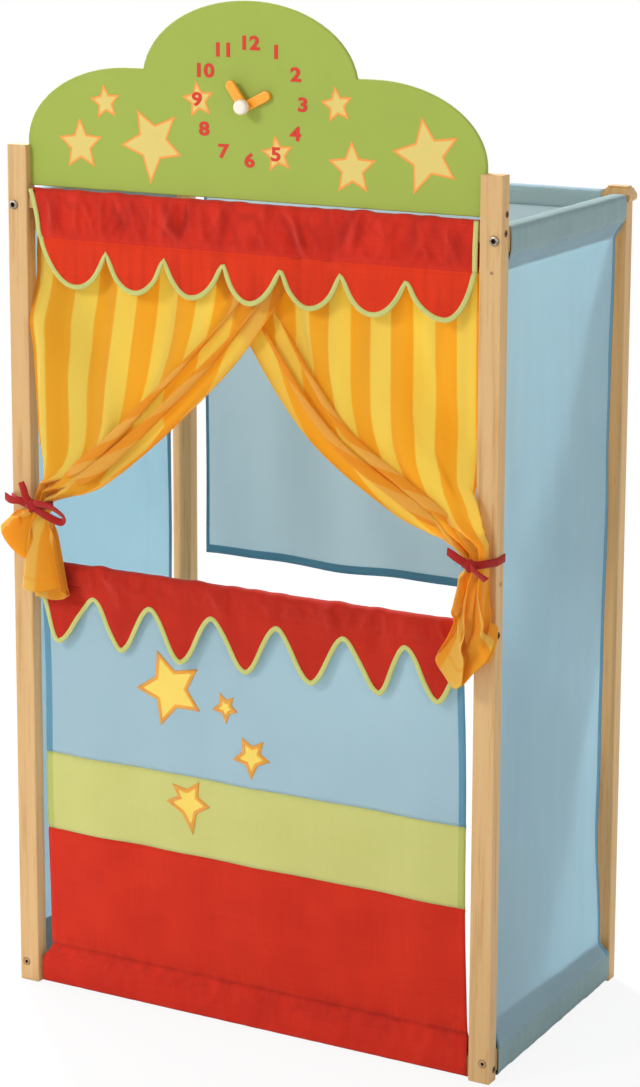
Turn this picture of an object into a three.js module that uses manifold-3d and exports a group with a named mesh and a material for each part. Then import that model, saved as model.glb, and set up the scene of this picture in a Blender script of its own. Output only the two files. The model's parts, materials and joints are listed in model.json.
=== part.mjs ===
// A child's puppet theater stand: a bolted wooden frame with a clock headboard,
// hung all round with cotton cloth, and a stage window between two tied curtains.
// Millimetres. X runs to the right as seen from the front, Y to the back, Z up.
import * as THREE from "three";
import { mergeVertices } from "three/addons/utils/BufferGeometryUtils.js";
import Module from "manifold-3d";

const wasm = await Module();
wasm.setup();

// Driving sizes of the frame
const standWidth = 718;
const standDepth = 411;
const frontPostHeight = 1154;
const rearTopHeight = 1101;
const postWide = 30;
const postDeep = 20;
const rearInset = 7;

// Clearances and edges
const seatGap = 0.3;
const cutOverrun = 5;
const woodEdge = 2;
const endEdge = 1;
const weldDistance = 0.001;

// Rails: the side rails run from front to back, the front rails from post to post
const sideRailWide = 20;
const sideRailTall = 30;
const topRailDrop = 26;
const bottomRailMiddle = 26.5;
const frontRailDeep = 12;
const valanceRailTall = 25;
const valanceRailTop = 1096;
const valanceRailSetback = 11;
const sillRailTall = 21;
const sillRailTop = 597;
const sillRailSetback = 8;
const footRailTall = 28;
const footRailBase = 2;
const footRailSetback = 14;

// Rear rod and the caps on the rear posts
const rodRadius = 6;
const rodDrop = 13;
const rodSocket = 14;
const capWall = 4;
const capLip = 1.5;
const capRoof = 3.7;
const capStepTall = 2.5;
const capStepInset = 1.5;
const capSlopeTall = 8.5;
const capHipTall = 3;
const capSkirt = 1;

// Headboard: a dome between two lower lobes, set in grooves in the front posts
const boardThick = 6;
const boardSetback = 10.5;
const boardTongue = 3;
const boardLift = 5;
const boardEdge = 1;
const lobeTall = 158.5;
const lobeReach = 155;
const lobeRise = 100.5;
const lobeLedge = 21.6;
const domeTall = 248.5;
const domeRise = 102.7;

// Clock: two thick hands on a pin with a round cap
const clockRise = 118;
const handReach = 38;
const handHalf = 6.5;
const handThick = 6;
const pinRadius = 3;
const pinCapRadius = 9.5;
const pinCapThick = 8.5;
const nutRadius = 8;
const nutThick = 4;
const hourHandAngle = THREE.MathUtils.degToRad(-63);
const minuteHandAngle = THREE.MathUtils.degToRad(35);

// Bolts into the side rails and screws into the front rails
const boltRadius = 3;
const boltLength = 50;
const boltHeadRadius = 6;
const boltHeadTall = 3;
const boltRimTall = 1.2;
const boltEdge = 10;
const boltSocketRadius = 2.2;
const boltSocketDeep = 1.8;
const screwRadius = 2;
const screwLength = 55;
const screwHeadRadius = 4.5;
const screwHeadDeep = 2.6;
const boardScrewRadius = 1.5;
const boardScrewLength = 42;
const boardScrewRise = 5.3;

// Cloth: one thickness for all sheets, and the pockets that the rails pass through
const cloth = 1.2;
const valanceSideGap = 4;
const valanceSeamDrop = 65;
const valanceFall = 63;
const scallopDepth = 50;
const sillSkirtSeamDrop = 29;
const sillSkirtFall = 80;
const lobeDepth = 66;
const scallopCount = 7;
const scallopSteps = 8;
const scallopRoundness = 1.5;
const lobeRoundness = 1;
const skirtWave = 2;
const bindingWide = 8;
const bindingThick = 3;

// Curtains: each fans from the rail to its tie, then hangs in a short tail
const curtainHeader = 4;
const curtainSideGap = 3;
const curtainCrossing = 115;
const curtainRailGap = 10.5;
const curtainLayerStep = 8;
const curtainWave = 2;
const curtainPleats = 4;
const fanRows = 12;
const neckRows = 2;
const tailRows = 3;
const innerGatherPower = 1.6;
const outerGatherPower = 4;
const pleatGatherPower = 3;
const crossingStartShare = 0.3;
const swingStartShare = 0.1;
const tieHeight = 682;
const bundleRadius = 15.3;
const bundleHalf = 11;
const bundlePleat = 6;
const bundleThick = 5;
const bundleReach = 16;
const tailReach = 19;
const tailPleat = 8;
const tailThick = 5;
const leftTailOut = 23;
const leftTailOuterFall = 54;
const leftTailIn = 73;
const leftTailInnerFall = 120;
const rightTailOut = 33;
const rightTailOuterFall = 90;
const rightTailIn = 39;
const rightTailInnerFall = 137;
const ribbonWide = 9;
const ribbonThick = 1.8;
const knotRadius = 6.5;
const knotFlatShare = 0.5;
const knotTallShare = 0.8;
const knotSteps = 10;
const bowSize = 60;

// Lower front panel in three bands, with sewn stars
const panelSideGap = 12;
const blueGreenSeam = 332;
const greenRedSeam = 224;
const footPocketRise = 28;
const footPocketSideGap = 2;
const starThick = 1;

// Side panels and the rear flap, each with pockets wider than its sheet
const sidePanelSeamDrop = 38;
const sidePanelFootRise = 48.5;
const sidePanelFootDrop = 22.5;
const sidePocketGap = 2;
const sidePanelFrontGap = 5;
const sidePanelRearGap = 13;
const sidePanelWave = 4;
const flapSideGap = 19;
const flapPocketGap = 3;
const flapSeamDrop = 28;
const flapLength = 533;
const flapWave = 5;

// Places that follow from the sizes above: the frame
const outerHalf = standWidth / 2;
const innerHalf = outerHalf - postWide;
const rearOuterHalf = outerHalf - rearInset;
const rearInnerHalf = rearOuterHalf - postWide;
const rearPostFront = standDepth - postDeep;
const topRailMiddle = rearTopHeight - topRailDrop;
const rodSetback = standDepth - postDeep / 2;
const rodHeight = rearTopHeight - rodDrop;

// The headboard and its clock
const boardBase = valanceRailTop + boardLift;
const boardHalf = innerHalf + boardTongue;
const boardBack = boardSetback + boardThick;
const boardScrewHeight = boardBase + boardScrewRise;
const boardScrewSetback = boardSetback + boardThick / 2;
const lobeStart = boardHalf - lobeReach;
const lobeTop = boardBase + lobeTall;
const domeHalf = lobeStart - lobeLedge;
const domeTop = boardBase + domeTall;
const clockHeight = boardBase + clockRise;

// The cloth
const valanceHalf = innerHalf - valanceSideGap;
const valanceSeam = valanceRailTop - valanceSeamDrop;
const sillSkirtSeam = sillRailTop - sillSkirtSeamDrop;
const curtainTop = valanceRailTop + curtainHeader;
const curtainOuter = innerHalf - curtainSideGap;
const curtainSetback = valanceRailSetback + curtainRailGap;
const bundleMiddle = innerHalf - bundleRadius + seatGap;
const bowReach = bundleReach + bundleRadius + seatGap + ribbonThick;
const panelHalf = innerHalf - panelSideGap;
const panelSetback = sillRailSetback;
const footPocketHalf = innerHalf - footPocketSideGap;
const footPocketSeam = footRailBase + footRailTall + footPocketRise;
const sidePocketFront = postDeep + sidePocketGap;
const sidePocketRear = rearPostFront - capWall - seatGap;
const sidePanelFront = postDeep + sidePanelFrontGap;
const sidePanelRear = rearPostFront - sidePanelRearGap;
const sidePanelSeam = topRailMiddle - sidePanelSeamDrop;
const sidePanelFootSeam = bottomRailMiddle + sidePanelFootRise;
const sidePanelFoot = bottomRailMiddle - sidePanelFootDrop;
const flapHalf = rearInnerHalf - flapSideGap;
const flapPocketHalf = rearInnerHalf - capWall - flapPocketGap;
const flapSeam = rodHeight - flapSeamDrop;
const flapBottom = flapSeam - flapLength;

// The space that the whole stand takes from front to back
const footprintFront = -bowReach - knotRadius * knotFlatShare;
const footprintBack = standDepth + capWall;

// Wood, metal and cloth finishes
const beech = finish(0xdeb482, 0.62, 0);
const greenPaint = finish(0xa3b84e, 0.55, 0);
const orangePaint = finish(0xf7a31c, 0.45, 0);
const creamPlastic = finish(0xf1e6d4, 0.4, 0);
const steel = finish(0xb9bbbd, 0.3, 1);
const darkSteel = finish(0x6b5b4c, 0.45, 1);
const redCotton = finish(0xdc3323, 0.9, 0);
const greenTape = finish(0xb9c25f, 0.85, 0);
const curtainCotton = finish(0xf9b52c, 0.88, 0);
const redRibbon = finish(0xb5241a, 0.8, 0);
const blueCotton = finish(0x9fc6d6, 0.9, 0);
const limeCotton = finish(0xb7c866, 0.9, 0);
const starCotton = finish(0xeccf62, 0.85, 0);

const stand = new THREE.Group();
stand.position.y = -(footprintFront + footprintBack) / 2;

function finish(color, roughness, metalness) {
  return new THREE.MeshStandardMaterial({ color, roughness, metalness });
}

// Adds one named piece to the stand.
function add(name, geometry, material) {
  const shown = geometry.index ? geometry.toNonIndexed() : geometry;
  shown.computeVertexNormals();
  const mesh = new THREE.Mesh(shown, material);
  mesh.name = name;
  stand.add(mesh);
}

// Adds a piece made for the right side, and its mirror image for the left side.
function addPair(nameFor, geometry, material) {
  add(nameFor("right"), geometry, material);
  add(nameFor("left"), mirrored(geometry), material);
}

function toSolid(geometry) {
  const bare = geometry.clone();
  bare.deleteAttribute("normal");
  bare.deleteAttribute("uv");
  const merged = mergeVertices(bare, weldDistance);
  const triangles = [];
  for (let k = 0; k < merged.index.count; k += 3) {
    const [a, b, c] = merged.index.array.slice(k, k + 3);
    if (a !== b && b !== c && c !== a) triangles.push(a, b, c);
  }
  const vertProperties = merged.attributes.position.array;
  const triVerts = new Uint32Array(triangles);
  return new wasm.Manifold(new wasm.Mesh({ numProp: 3, vertProperties, triVerts }));
}

function toGeometry(solid) {
  const mesh = solid.getMesh();
  const geometry = new THREE.BufferGeometry();
  geometry.setAttribute("position", new THREE.BufferAttribute(mesh.vertProperties, 3));
  geometry.setIndex(new THREE.BufferAttribute(mesh.triVerts, 1));
  return geometry;
}

function join(...geometries) {
  const solids = geometries.map(toSolid);
  return toGeometry(solids.reduce((whole, next) => whole.add(next)));
}

function cut(geometry, ...cutters) {
  const solids = cutters.map(toSolid);
  return toGeometry(solids.reduce((left, next) => left.subtract(next), toSolid(geometry)));
}

function mirrored(geometry) {
  const flipped = (geometry.index ? geometry.toNonIndexed() : geometry.clone()).scale(-1, 1, 1);
  const place = flipped.attributes.position;
  const kept = new THREE.Vector3();
  const moved = new THREE.Vector3();
  for (let corner = 0; corner < place.count; corner += 3) {
    kept.fromBufferAttribute(place, corner + 1);
    moved.fromBufferAttribute(place, corner + 2);
    place.setXYZ(corner + 1, moved.x, moved.y, moved.z);
    place.setXYZ(corner + 2, kept.x, kept.y, kept.z);
  }
  return flipped;
}

// Outlines drawn in one view and pushed through the depth of the piece

function extruded(shape, length, edge = 0, curveSegments = 3) {
  const settings = { depth: length - 2 * edge, bevelEnabled: edge > 0, curveSegments };
  Object.assign(settings, { bevelThickness: edge, bevelSize: edge, bevelOffset: -edge });
  settings.bevelSegments = 1;
  return new THREE.ExtrudeGeometry(shape, settings).translate(0, 0, edge);
}

function seenFromAbove(shape, low, high, edge, curveSegments) {
  return extruded(shape, high - low, edge, curveSegments).translate(0, 0, low);
}

const forward = new THREE.Vector3(0, -1, 0);
const back = new THREE.Vector3(0, 1, 0);
const right = new THREE.Vector3(1, 0, 0);
const up = new THREE.Vector3(0, 0, 1);

function seenFromFront(shape, front, rear, edge, curveSegments) {
  const turn = new THREE.Matrix4().makeBasis(right, up, forward);
  const piece = extruded(shape, rear - front, edge, curveSegments);
  return piece.applyMatrix4(turn).translate(0, rear, 0);
}

function seenFromSide(shape, low, high, edge, curveSegments) {
  const turn = new THREE.Matrix4().makeBasis(back, up, right);
  const piece = extruded(shape, high - low, edge, curveSegments);
  return piece.applyMatrix4(turn).translate(low, 0, 0);
}

function polygon(points) {
  return new THREE.Shape(points.map(([x, y]) => new THREE.Vector2(x, y)));
}

function rectangle(x0, x1, y0, y1) {
  return polygon([[x0, y0], [x1, y0], [x1, y1], [x0, y1]]);
}

function roundedRectangle(x0, x1, y0, y1, radius) {
  const shape = new THREE.Shape();
  shape.moveTo(x0 + radius, y0);
  shape.lineTo(x1 - radius, y0);
  shape.quadraticCurveTo(x1, y0, x1, y0 + radius);
  shape.lineTo(x1, y1 - radius);
  shape.quadraticCurveTo(x1, y1, x1 - radius, y1);
  shape.lineTo(x0 + radius, y1);
  shape.quadraticCurveTo(x0, y1, x0, y1 - radius);
  shape.lineTo(x0, y0 + radius);
  shape.quadraticCurveTo(x0, y0, x0 + radius, y0);
  return shape;
}

function block(x0, x1, y0, y1, z0, z1) {
  return seenFromAbove(rectangle(x0, x1, y0, y1), z0, z1);
}

// Turned pieces: the profile lists radius and distance along Y, from the head to the tip

function turned(profile, steps = 12) {
  return new THREE.LatheGeometry(profile.map(([r, y]) => new THREE.Vector2(r, y)), steps);
}

function drill(radius, from, to) {
  return turned([[0, from], [radius, from], [radius, to], [0, to]]);
}

function headOnRight(geometry) {
  return geometry.rotateZ(Math.PI / 2);
}

// The side rails and panels lean in towards the rear posts, which stand closer together.
function leanIn(geometry) {
  const lean = rearInset / (rearPostFront - postDeep);
  const shear = new THREE.Matrix4().set(1, -lean, 0, lean * postDeep, 0, 1, 0, 0, 0, 0, 1, 0, 0, 0, 0, 1);
  return geometry.applyMatrix4(shear);
}

// Fasteners

function boltProfile(headRadius, headTall) {
  return [
    [0, boltSocketDeep - headTall],
    [boltSocketRadius, boltSocketDeep - headTall],
    [boltSocketRadius, -headTall],
    [headRadius, -Math.min(boltRimTall, headTall)],
    [headRadius, 0],
    [boltRadius, 0],
    [boltRadius, boltLength],
    [0, boltLength],
  ];
}

function sunkProfile(radius, length, headRadius, headDeep) {
  const slotRadius = headRadius / 3;
  return [
    [0, headDeep / 2],
    [slotRadius, headDeep / 2],
    [slotRadius, 0],
    [headRadius, 0],
    [radius, headDeep],
    [radius, length],
    [0, length],
  ];
}

function sunkBore(radius, length, headRadius, headDeep) {
  return turned([
    [0, -cutOverrun],
    [headRadius + seatGap, -cutOverrun],
    [headRadius + seatGap, 0],
    [radius + seatGap, headDeep],
    [radius + seatGap, length + cutOverrun],
    [0, length + cutOverrun],
  ]);
}

const boltAcross = outerHalf - boltEdge;
const rearBoltAcross = rearOuterHalf - boltEdge;
const sideRailHeights = { top: topRailMiddle, bottom: bottomRailMiddle };
const frontRails = {
  valance: {
    setback: valanceRailSetback,
    low: valanceRailTop - valanceRailTall,
    high: valanceRailTop,
  },
  sill: { setback: sillRailSetback, low: sillRailTop - sillRailTall, high: sillRailTop },
  foot: { setback: footRailSetback, low: footRailBase, high: footRailBase + footRailTall },
};

function middleOf(rail) {
  return (rail.low + rail.high) / 2;
}

function boltBore() {
  return drill(boltRadius + seatGap, -cutOverrun, boltLength + cutOverrun);
}

function boltSeat() {
  return sunkBore(boltRadius, boltLength, boltHeadRadius, boltHeadTall);
}

function screwBore() {
  return headOnRight(sunkBore(screwRadius, screwLength, screwHeadRadius, screwHeadDeep));
}

function boardScrewBore() {
  const bore = sunkBore(boardScrewRadius, boardScrewLength, screwHeadRadius, screwHeadDeep);
  return headOnRight(bore);
}

function addFasteners() {
  for (const [level, height] of Object.entries(sideRailHeights)) {
    const proud = level === "top";
    const front = proud
      ? turned(boltProfile(boltHeadRadius, boltHeadTall))
      : turned(sunkProfile(boltRadius, boltLength, boltHeadRadius, boltHeadTall));
    const lift = proud ? -seatGap : 0;
    front.translate(boltAcross, lift, height);
    addPair((side) => `front_${side}_${level}_bolt`, front, proud ? steel : darkSteel);
    const rear = turned(boltProfile(boltHeadRadius, boltHeadTall)).rotateZ(Math.PI);
    rear.translate(rearBoltAcross, standDepth + seatGap, height);
    addPair((side) => `rear_${side}_${level}_bolt`, rear, steel);
  }
  for (const [name, rail] of Object.entries(frontRails)) {
    const profile = sunkProfile(screwRadius, screwLength, screwHeadRadius, screwHeadDeep);
    const screw = headOnRight(turned(profile, 8));
    screw.translate(outerHalf, rail.setback, middleOf(rail));
    addPair((side) => `${side}_${name}_screw`, screw, darkSteel);
  }
  const profile = sunkProfile(boardScrewRadius, boardScrewLength, screwHeadRadius, screwHeadDeep);
  const boardScrew = headOnRight(turned(profile, 8));
  boardScrew.translate(outerHalf, boardScrewSetback, boardScrewHeight);
  addPair((side) => `${side}_headboard_screw`, boardScrew, darkSteel);
}

// Frame

function frontPost() {
  const section = roundedRectangle(innerHalf, outerHalf, 0, postDeep, woodEdge);
  const post = seenFromAbove(section, 0, frontPostHeight, endEdge);
  const groove = block(
    innerHalf - cutOverrun,
    boardHalf + seatGap,
    boardSetback - seatGap,
    boardBack + seatGap,
    boardBase - seatGap,
    frontPostHeight + cutOverrun,
  );
  const bores = [
    boltBore().translate(boltAcross, 0, topRailMiddle),
    boltSeat().translate(boltAcross, 0, bottomRailMiddle),
    boardScrewBore().translate(outerHalf, boardScrewSetback, boardScrewHeight),
  ];
  for (const rail of Object.values(frontRails)) {
    bores.push(screwBore().translate(outerHalf, rail.setback, middleOf(rail)));
  }
  return cut(post, groove, ...bores);
}

const capTop = rearTopHeight;
const rearPostTop = capTop - capRoof - seatGap;

function rodBore() {
  const bore = drill(rodRadius + seatGap, -cutOverrun, rodSocket + seatGap);
  return bore.rotateZ(-Math.PI / 2).translate(rearInnerHalf, rodSetback, rodHeight);
}

function rearPost() {
  const section = roundedRectangle(
    rearInnerHalf, rearOuterHalf, rearPostFront, standDepth, woodEdge);
  const post = seenFromAbove(section, 0, rearPostTop, endEdge);
  const bores = Object.values(sideRailHeights).map((height) =>
    boltBore().rotateZ(Math.PI).translate(rearBoltAcross, standDepth, height));
  return cut(post, rodBore(), ...bores);
}

// A cap with a hipped roof: each level is a rectangle, and the levels are joined by flat faces.
function rearCap() {
  const middleX = (rearInnerHalf + rearOuterHalf) / 2;
  const stepBase = capTop - capStepTall;
  const slopeBase = stepBase - capSlopeTall;
  const capBase = rodHeight - rodRadius - capSkirt;
  const levels = [
    [capBase, capLip],
    [capBase + capHipTall, capWall],
    [slopeBase, capWall],
    [stepBase, 0],
    [stepBase, -capStepInset],
    [capTop, -capStepInset],
  ];
  const corners = [[-1, -1], [1, -1], [1, 1], [-1, 1]];
  const points = [];
  for (const [height, wall] of levels) {
    for (const [sideX, sideY] of corners) {
      const x = middleX + sideX * (postWide / 2 + wall);
      const y = rodSetback + sideY * (postDeep / 2 + wall);
      points.push(x, y, height);
    }
  }
  const faces = [0, 2, 1, 0, 3, 2];
  for (let level = 0; level < levels.length - 1; level++) {
    for (let corner = 0; corner < corners.length; corner++) {
      const here = level * corners.length + corner;
      const beside = level * corners.length + ((corner + 1) % corners.length);
      const above = here + corners.length;
      const aboveBeside = beside + corners.length;
      faces.push(here, beside, aboveBeside, here, aboveBeside, above);
    }
  }
  const top = (levels.length - 1) * corners.length;
  faces.push(top, top + 1, top + 2, top, top + 2, top + 3);
  const cap = new THREE.BufferGeometry();
  cap.setAttribute("position", new THREE.Float32BufferAttribute(points, 3));
  cap.setIndex(faces);
  const socket = block(
    rearInnerHalf - seatGap,
    rearOuterHalf + seatGap,
    rearPostFront - seatGap,
    standDepth + seatGap,
    capBase - cutOverrun,
    capTop - capRoof,
  );
  const railNotch = block(
    rearOuterHalf - sideRailWide - capWall,
    rearOuterHalf + capWall + cutOverrun,
    rearPostFront - capWall - cutOverrun,
    rearPostFront,
    capBase - cutOverrun,
    topRailMiddle + sideRailTall / 2 + seatGap,
  );
  const rodHole = rodBore().translate(-capWall, 0, 0);
  return cut(cap, socket, railNotch, rodHole);
}

function sideRail(height) {
  const section = roundedRectangle(
    outerHalf - sideRailWide,
    outerHalf,
    height - sideRailTall / 2,
    height + sideRailTall / 2,
    woodEdge,
  );
  const rail = leanIn(seenFromFront(section, postDeep + seatGap, rearPostFront - seatGap));
  const frontBore = boltBore().translate(boltAcross, 0, height);
  const rearBore = boltBore().rotateZ(Math.PI).translate(rearBoltAcross, standDepth, height);
  return cut(rail, frontBore, rearBore);
}

function frontRail(rail) {
  const section = roundedRectangle(
    rail.setback - frontRailDeep / 2,
    rail.setback + frontRailDeep / 2,
    rail.low,
    rail.high,
    woodEdge,
  );
  const bar = seenFromSide(section, -innerHalf + seatGap, innerHalf - seatGap);
  const bore = screwBore().translate(outerHalf, rail.setback, middleOf(rail));
  return cut(bar, bore, mirrored(bore));
}

function rearRod() {
  const half = rearInnerHalf + rodSocket;
  const rod = turned([[0, -half], [rodRadius, -half], [rodRadius, half], [0, half]], 24);
  return rod.rotateZ(Math.PI / 2).translate(0, rodSetback, rodHeight);
}

function addFrame() {
  addPair((side) => `front_${side}_post`, frontPost(), beech);
  addPair((side) => `rear_${side}_post`, rearPost(), beech);
  addPair((side) => `rear_${side}_cap`, rearCap(), beech);
  for (const [level, height] of Object.entries(sideRailHeights)) {
    addPair((side) => `${side}_${level}_rail`, sideRail(height), beech);
  }
  for (const [name, rail] of Object.entries(frontRails)) {
    add(`${name}_rail`, frontRail(rail), beech);
  }
  add("rear_rod", rearRod(), beech);
}

// Headboard and clock

function headboardOutline() {
  const lobeSpring = lobeTop - lobeRise;
  const domeSpring = domeTop - domeRise;
  const notch = Math.asin((lobeTop - domeSpring) / domeRise);
  const shape = new THREE.Shape();
  shape.moveTo(-boardHalf, boardBase);
  shape.lineTo(boardHalf, boardBase);
  shape.absellipse(lobeStart, lobeSpring, lobeReach, lobeRise, 0, Math.PI / 2);
  shape.absellipse(0, domeSpring, domeHalf, domeRise, notch, Math.PI - notch);
  shape.absellipse(-lobeStart, lobeSpring, lobeReach, lobeRise, Math.PI / 2, Math.PI);
  shape.closePath();
  return shape;
}

function addHeadboard() {
  const board = seenFromFront(headboardOutline(), boardSetback, boardBack, boardEdge, 16);
  const pinHole = drill(pinRadius + seatGap, boardSetback - cutOverrun, boardBack + cutOverrun);
  const screwHole = boardScrewBore().translate(outerHalf, boardScrewSetback, boardScrewHeight);
  const holes = [pinHole.translate(0, 0, clockHeight), screwHole, mirrored(screwHole)];
  add("headboard", cut(board, ...holes), greenPaint);
}

function clockHand(angle, rear) {
  const shape = new THREE.Shape();
  const straight = handReach - handHalf;
  shape.absarc(0, straight, handHalf, 0, Math.PI);
  shape.absarc(0, 0, handHalf, Math.PI, 2 * Math.PI);
  shape.closePath();
  const hand = seenFromFront(shape, rear - handThick, rear, boardEdge, 6);
  const front = rear - handThick - cutOverrun;
  const bored = cut(hand, drill(pinRadius + seatGap, front, rear + cutOverrun));
  return bored.rotateY(-angle).translate(0, 0, clockHeight);
}

function addClock() {
  const hourBack = boardSetback - seatGap;
  const minuteBack = hourBack - handThick - seatGap;
  const capBack = minuteBack - handThick - seatGap;
  const nutBack = boardBack + seatGap + nutThick;
  add("hour_hand", clockHand(hourHandAngle, hourBack), orangePaint);
  add("minute_hand", clockHand(minuteHandAngle, minuteBack), orangePaint);
  const pin = turned([
    [0, capBack - pinCapThick],
    [pinCapRadius * Math.cos(Math.PI / 6), capBack - pinCapThick * Math.sin(Math.PI / 3)],
    [pinCapRadius, capBack - pinCapThick / 2],
    [pinCapRadius, capBack],
    [pinRadius, capBack],
    [pinRadius, nutBack + seatGap],
    [0, nutBack + seatGap],
  ], 24);
  add("clock_pin", pin.translate(0, 0, clockHeight), creamPlastic);
  const nut = turned([
    [pinRadius + seatGap, nutBack],
    [pinRadius + seatGap, nutBack - nutThick],
    [nutRadius, nutBack - nutThick],
    [nutRadius, nutBack],
    [pinRadius + seatGap, nutBack],
  ]);
  add("clock_nut", nut.translate(0, 0, clockHeight), steel);
}

// Cloth

// A closed sheet: place(u, v) gives its middle, u across and v down as seen from facing.
function clothSheet(place, facing, thickness, columns, rows) {
  const points = [];
  for (let j = 0; j <= rows; j++) {
    for (let i = 0; i <= columns; i++) {
      const middle = place(i / columns, j / rows);
      const half = facing.clone().multiplyScalar(thickness(j / rows) / 2);
      points.push(...middle.clone().add(half), ...middle.clone().sub(half));
    }
  }
  const shown = (i, j) => 2 * (j * (columns + 1) + i);
  const hidden = (i, j) => shown(i, j) + 1;
  const faces = [];
  for (let j = 0; j < rows; j++) {
    for (let i = 0; i < columns; i++) {
      faces.push(shown(i, j), shown(i, j + 1), shown(i + 1, j + 1));
      faces.push(shown(i, j), shown(i + 1, j + 1), shown(i + 1, j));
      faces.push(hidden(i, j), hidden(i + 1, j + 1), hidden(i, j + 1));
      faces.push(hidden(i, j), hidden(i + 1, j), hidden(i + 1, j + 1));
    }
  }
  const rim = [];
  for (let i = 0; i < columns; i++) rim.push([i, 0]);
  for (let j = 0; j < rows; j++) rim.push([columns, j]);
  for (let i = columns; i > 0; i--) rim.push([i, rows]);
  for (let j = rows; j > 0; j--) rim.push([0, j]);
  rim.forEach((here, k) => {
    const next = rim[(k + 1) % rim.length];
    faces.push(shown(...here), shown(...next), hidden(...next));
    faces.push(shown(...here), hidden(...next), hidden(...here));
  });
  const sheet = new THREE.BufferGeometry();
  sheet.setAttribute("position", new THREE.Float32BufferAttribute(points, 3));
  sheet.setIndex(faces);
  return sheet;
}

const evenCloth = () => cloth;

function mix(from, to, share) {
  return from + (to - from) * share;
}

function smooth(share) {
  const held = Math.min(Math.max(share, 0), 1);
  return held * held * (3 - 2 * held);
}

// The outline of a pocket round a rail, in the rail's cross-section: across is measured from
// the rail's middle, and the two layers meet at the seam, seamAcross from that middle.
function pocketOutline(middle, railHalf, far, railNear, seam, seamAcross) {
  const away = Math.sign(far - seam);
  const inside = railHalf + seatGap;
  const outside = inside + cloth;
  const corner = cloth + woodEdge;
  const tip = away * cloth;
  const seamMiddle = middle + seamAcross;
  const shape = new THREE.Shape();
  shape.moveTo(seamMiddle + cloth / 2, seam);
  shape.lineTo(Math.max(middle + outside, seamMiddle + cloth / 2), railNear);
  shape.lineTo(middle + outside, far - away * corner);
  shape.quadraticCurveTo(middle + outside, far, middle + outside - corner, far);
  shape.lineTo(middle - outside + corner, far);
  shape.quadraticCurveTo(middle - outside, far, middle - outside, far - away * corner);
  shape.lineTo(middle - outside, railNear);
  shape.lineTo(seamMiddle - cloth / 2, seam);
  shape.closePath();
  const hollow = new THREE.Path();
  hollow.moveTo(seamMiddle, seam + 2 * tip);
  hollow.lineTo(middle - inside, railNear + tip / 2);
  hollow.lineTo(middle - inside, far - tip);
  hollow.lineTo(middle + inside, far - tip);
  hollow.lineTo(middle + inside, railNear + tip / 2);
  hollow.closePath();
  shape.holes.push(hollow);
  return shape;
}

// Skirts: a pocket round a front rail and a waved sheet with a scalloped, bound edge

function skirtY(skirt, x, z) {
  const fall = (skirt.seam - z) / (skirt.seam - skirt.tip);
  return skirt.front + skirtWave * smooth(fall) * Math.sin((2 * Math.PI * x) / skirt.pitch);
}

function skirtEdge(skirt, share) {
  const s = share * scallopCount;
  const wave = (1 - Math.cos(2 * Math.PI * (s - 0.5))) / 2;
  const height = skirt.tip + bindingWide / 2 + skirt.depth * Math.pow(wave, skirt.roundness);
  return [mix(-skirt.half, skirt.half, share), height];
}

function bindingBand(skirt, wide, thick, lift) {
  const route = [[-skirt.half, skirt.top - lift]];
  const steps = scallopCount * scallopSteps;
  for (let i = 0; i <= steps; i++) route.push(skirtEdge(skirt, i / steps));
  route.push([skirt.half, skirt.top - lift]);
  const points = [];
  route.forEach(([x, z], k) => {
    const before = route[Math.max(k - 1, 0)];
    const after = route[Math.min(k + 1, route.length - 1)];
    const across = new THREE.Vector2(before[1] - after[1], after[0] - before[0]).normalize();
    const middle = skirtY(skirt, x, z) - (bindingThick - cloth) / 2;
    for (const [side, depth] of [[1, -1], [-1, -1], [-1, 1], [1, 1]]) {
      const px = x + (side * across.x * wide) / 2;
      const pz = z + (side * across.y * wide) / 2;
      points.push(px, middle + (depth * thick) / 2, pz);
    }
  });
  const faces = [0, 2, 1, 0, 3, 2];
  for (let k = 0; k < route.length - 1; k++) {
    for (let c = 0; c < 4; c++) {
      const here = 4 * k + c;
      const beside = 4 * k + ((c + 1) % 4);
      faces.push(here, beside, beside + 4, here, beside + 4, here + 4);
    }
  }
  const last = 4 * (route.length - 1);
  faces.push(last, last + 1, last + 2, last, last + 2, last + 3);
  const band = new THREE.BufferGeometry();
  band.setAttribute("position", new THREE.Float32BufferAttribute(points, 3));
  band.setIndex(faces);
  return band;
}

function addSkirt(name, rail, seam, fall, depth, roundness) {
  const tip = seam - fall;
  const front = rail.setback - frontRailDeep / 2 - seatGap - cloth / 2;
  const half = valanceHalf - bindingWide / 2;
  const top = rail.high + seatGap + cloth;
  const pitch = (2 * half) / scallopCount;
  const skirt = { front, half, top, pitch, seam, tip, depth, roundness };
  const place = (u, v) => {
    const [x, edge] = skirtEdge(skirt, u);
    const z = mix(seam + cloth, edge, v);
    return new THREE.Vector3(x, skirtY(skirt, x, z), z);
  };
  const hanging = clothSheet(place, forward, evenCloth, scallopCount * scallopSteps, 2);
  const outline = pocketOutline(
    rail.setback, frontRailDeep / 2, top, rail.low, seam, front - rail.setback);
  const pocket = seenFromSide(outline, -valanceHalf, valanceHalf);
  const room = bindingBand(skirt, bindingWide + 2 * seatGap, bindingThick + 2 * seatGap, -cloth);
  add(name, cut(join(pocket, hanging), room), redCotton);
  add(`${name}_binding`, bindingBand(skirt, bindingWide, bindingThick, seatGap), greenTape);
}

// Curtains

// A curtain has three stretches: a fan down to its tie, a neck inside the ribbon, and a tail.
// Its edges are seen from the front, with x measured towards its own post.
const neckTop = tieHeight + ribbonWide;
const neckLow = tieHeight - ribbonWide;

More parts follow.
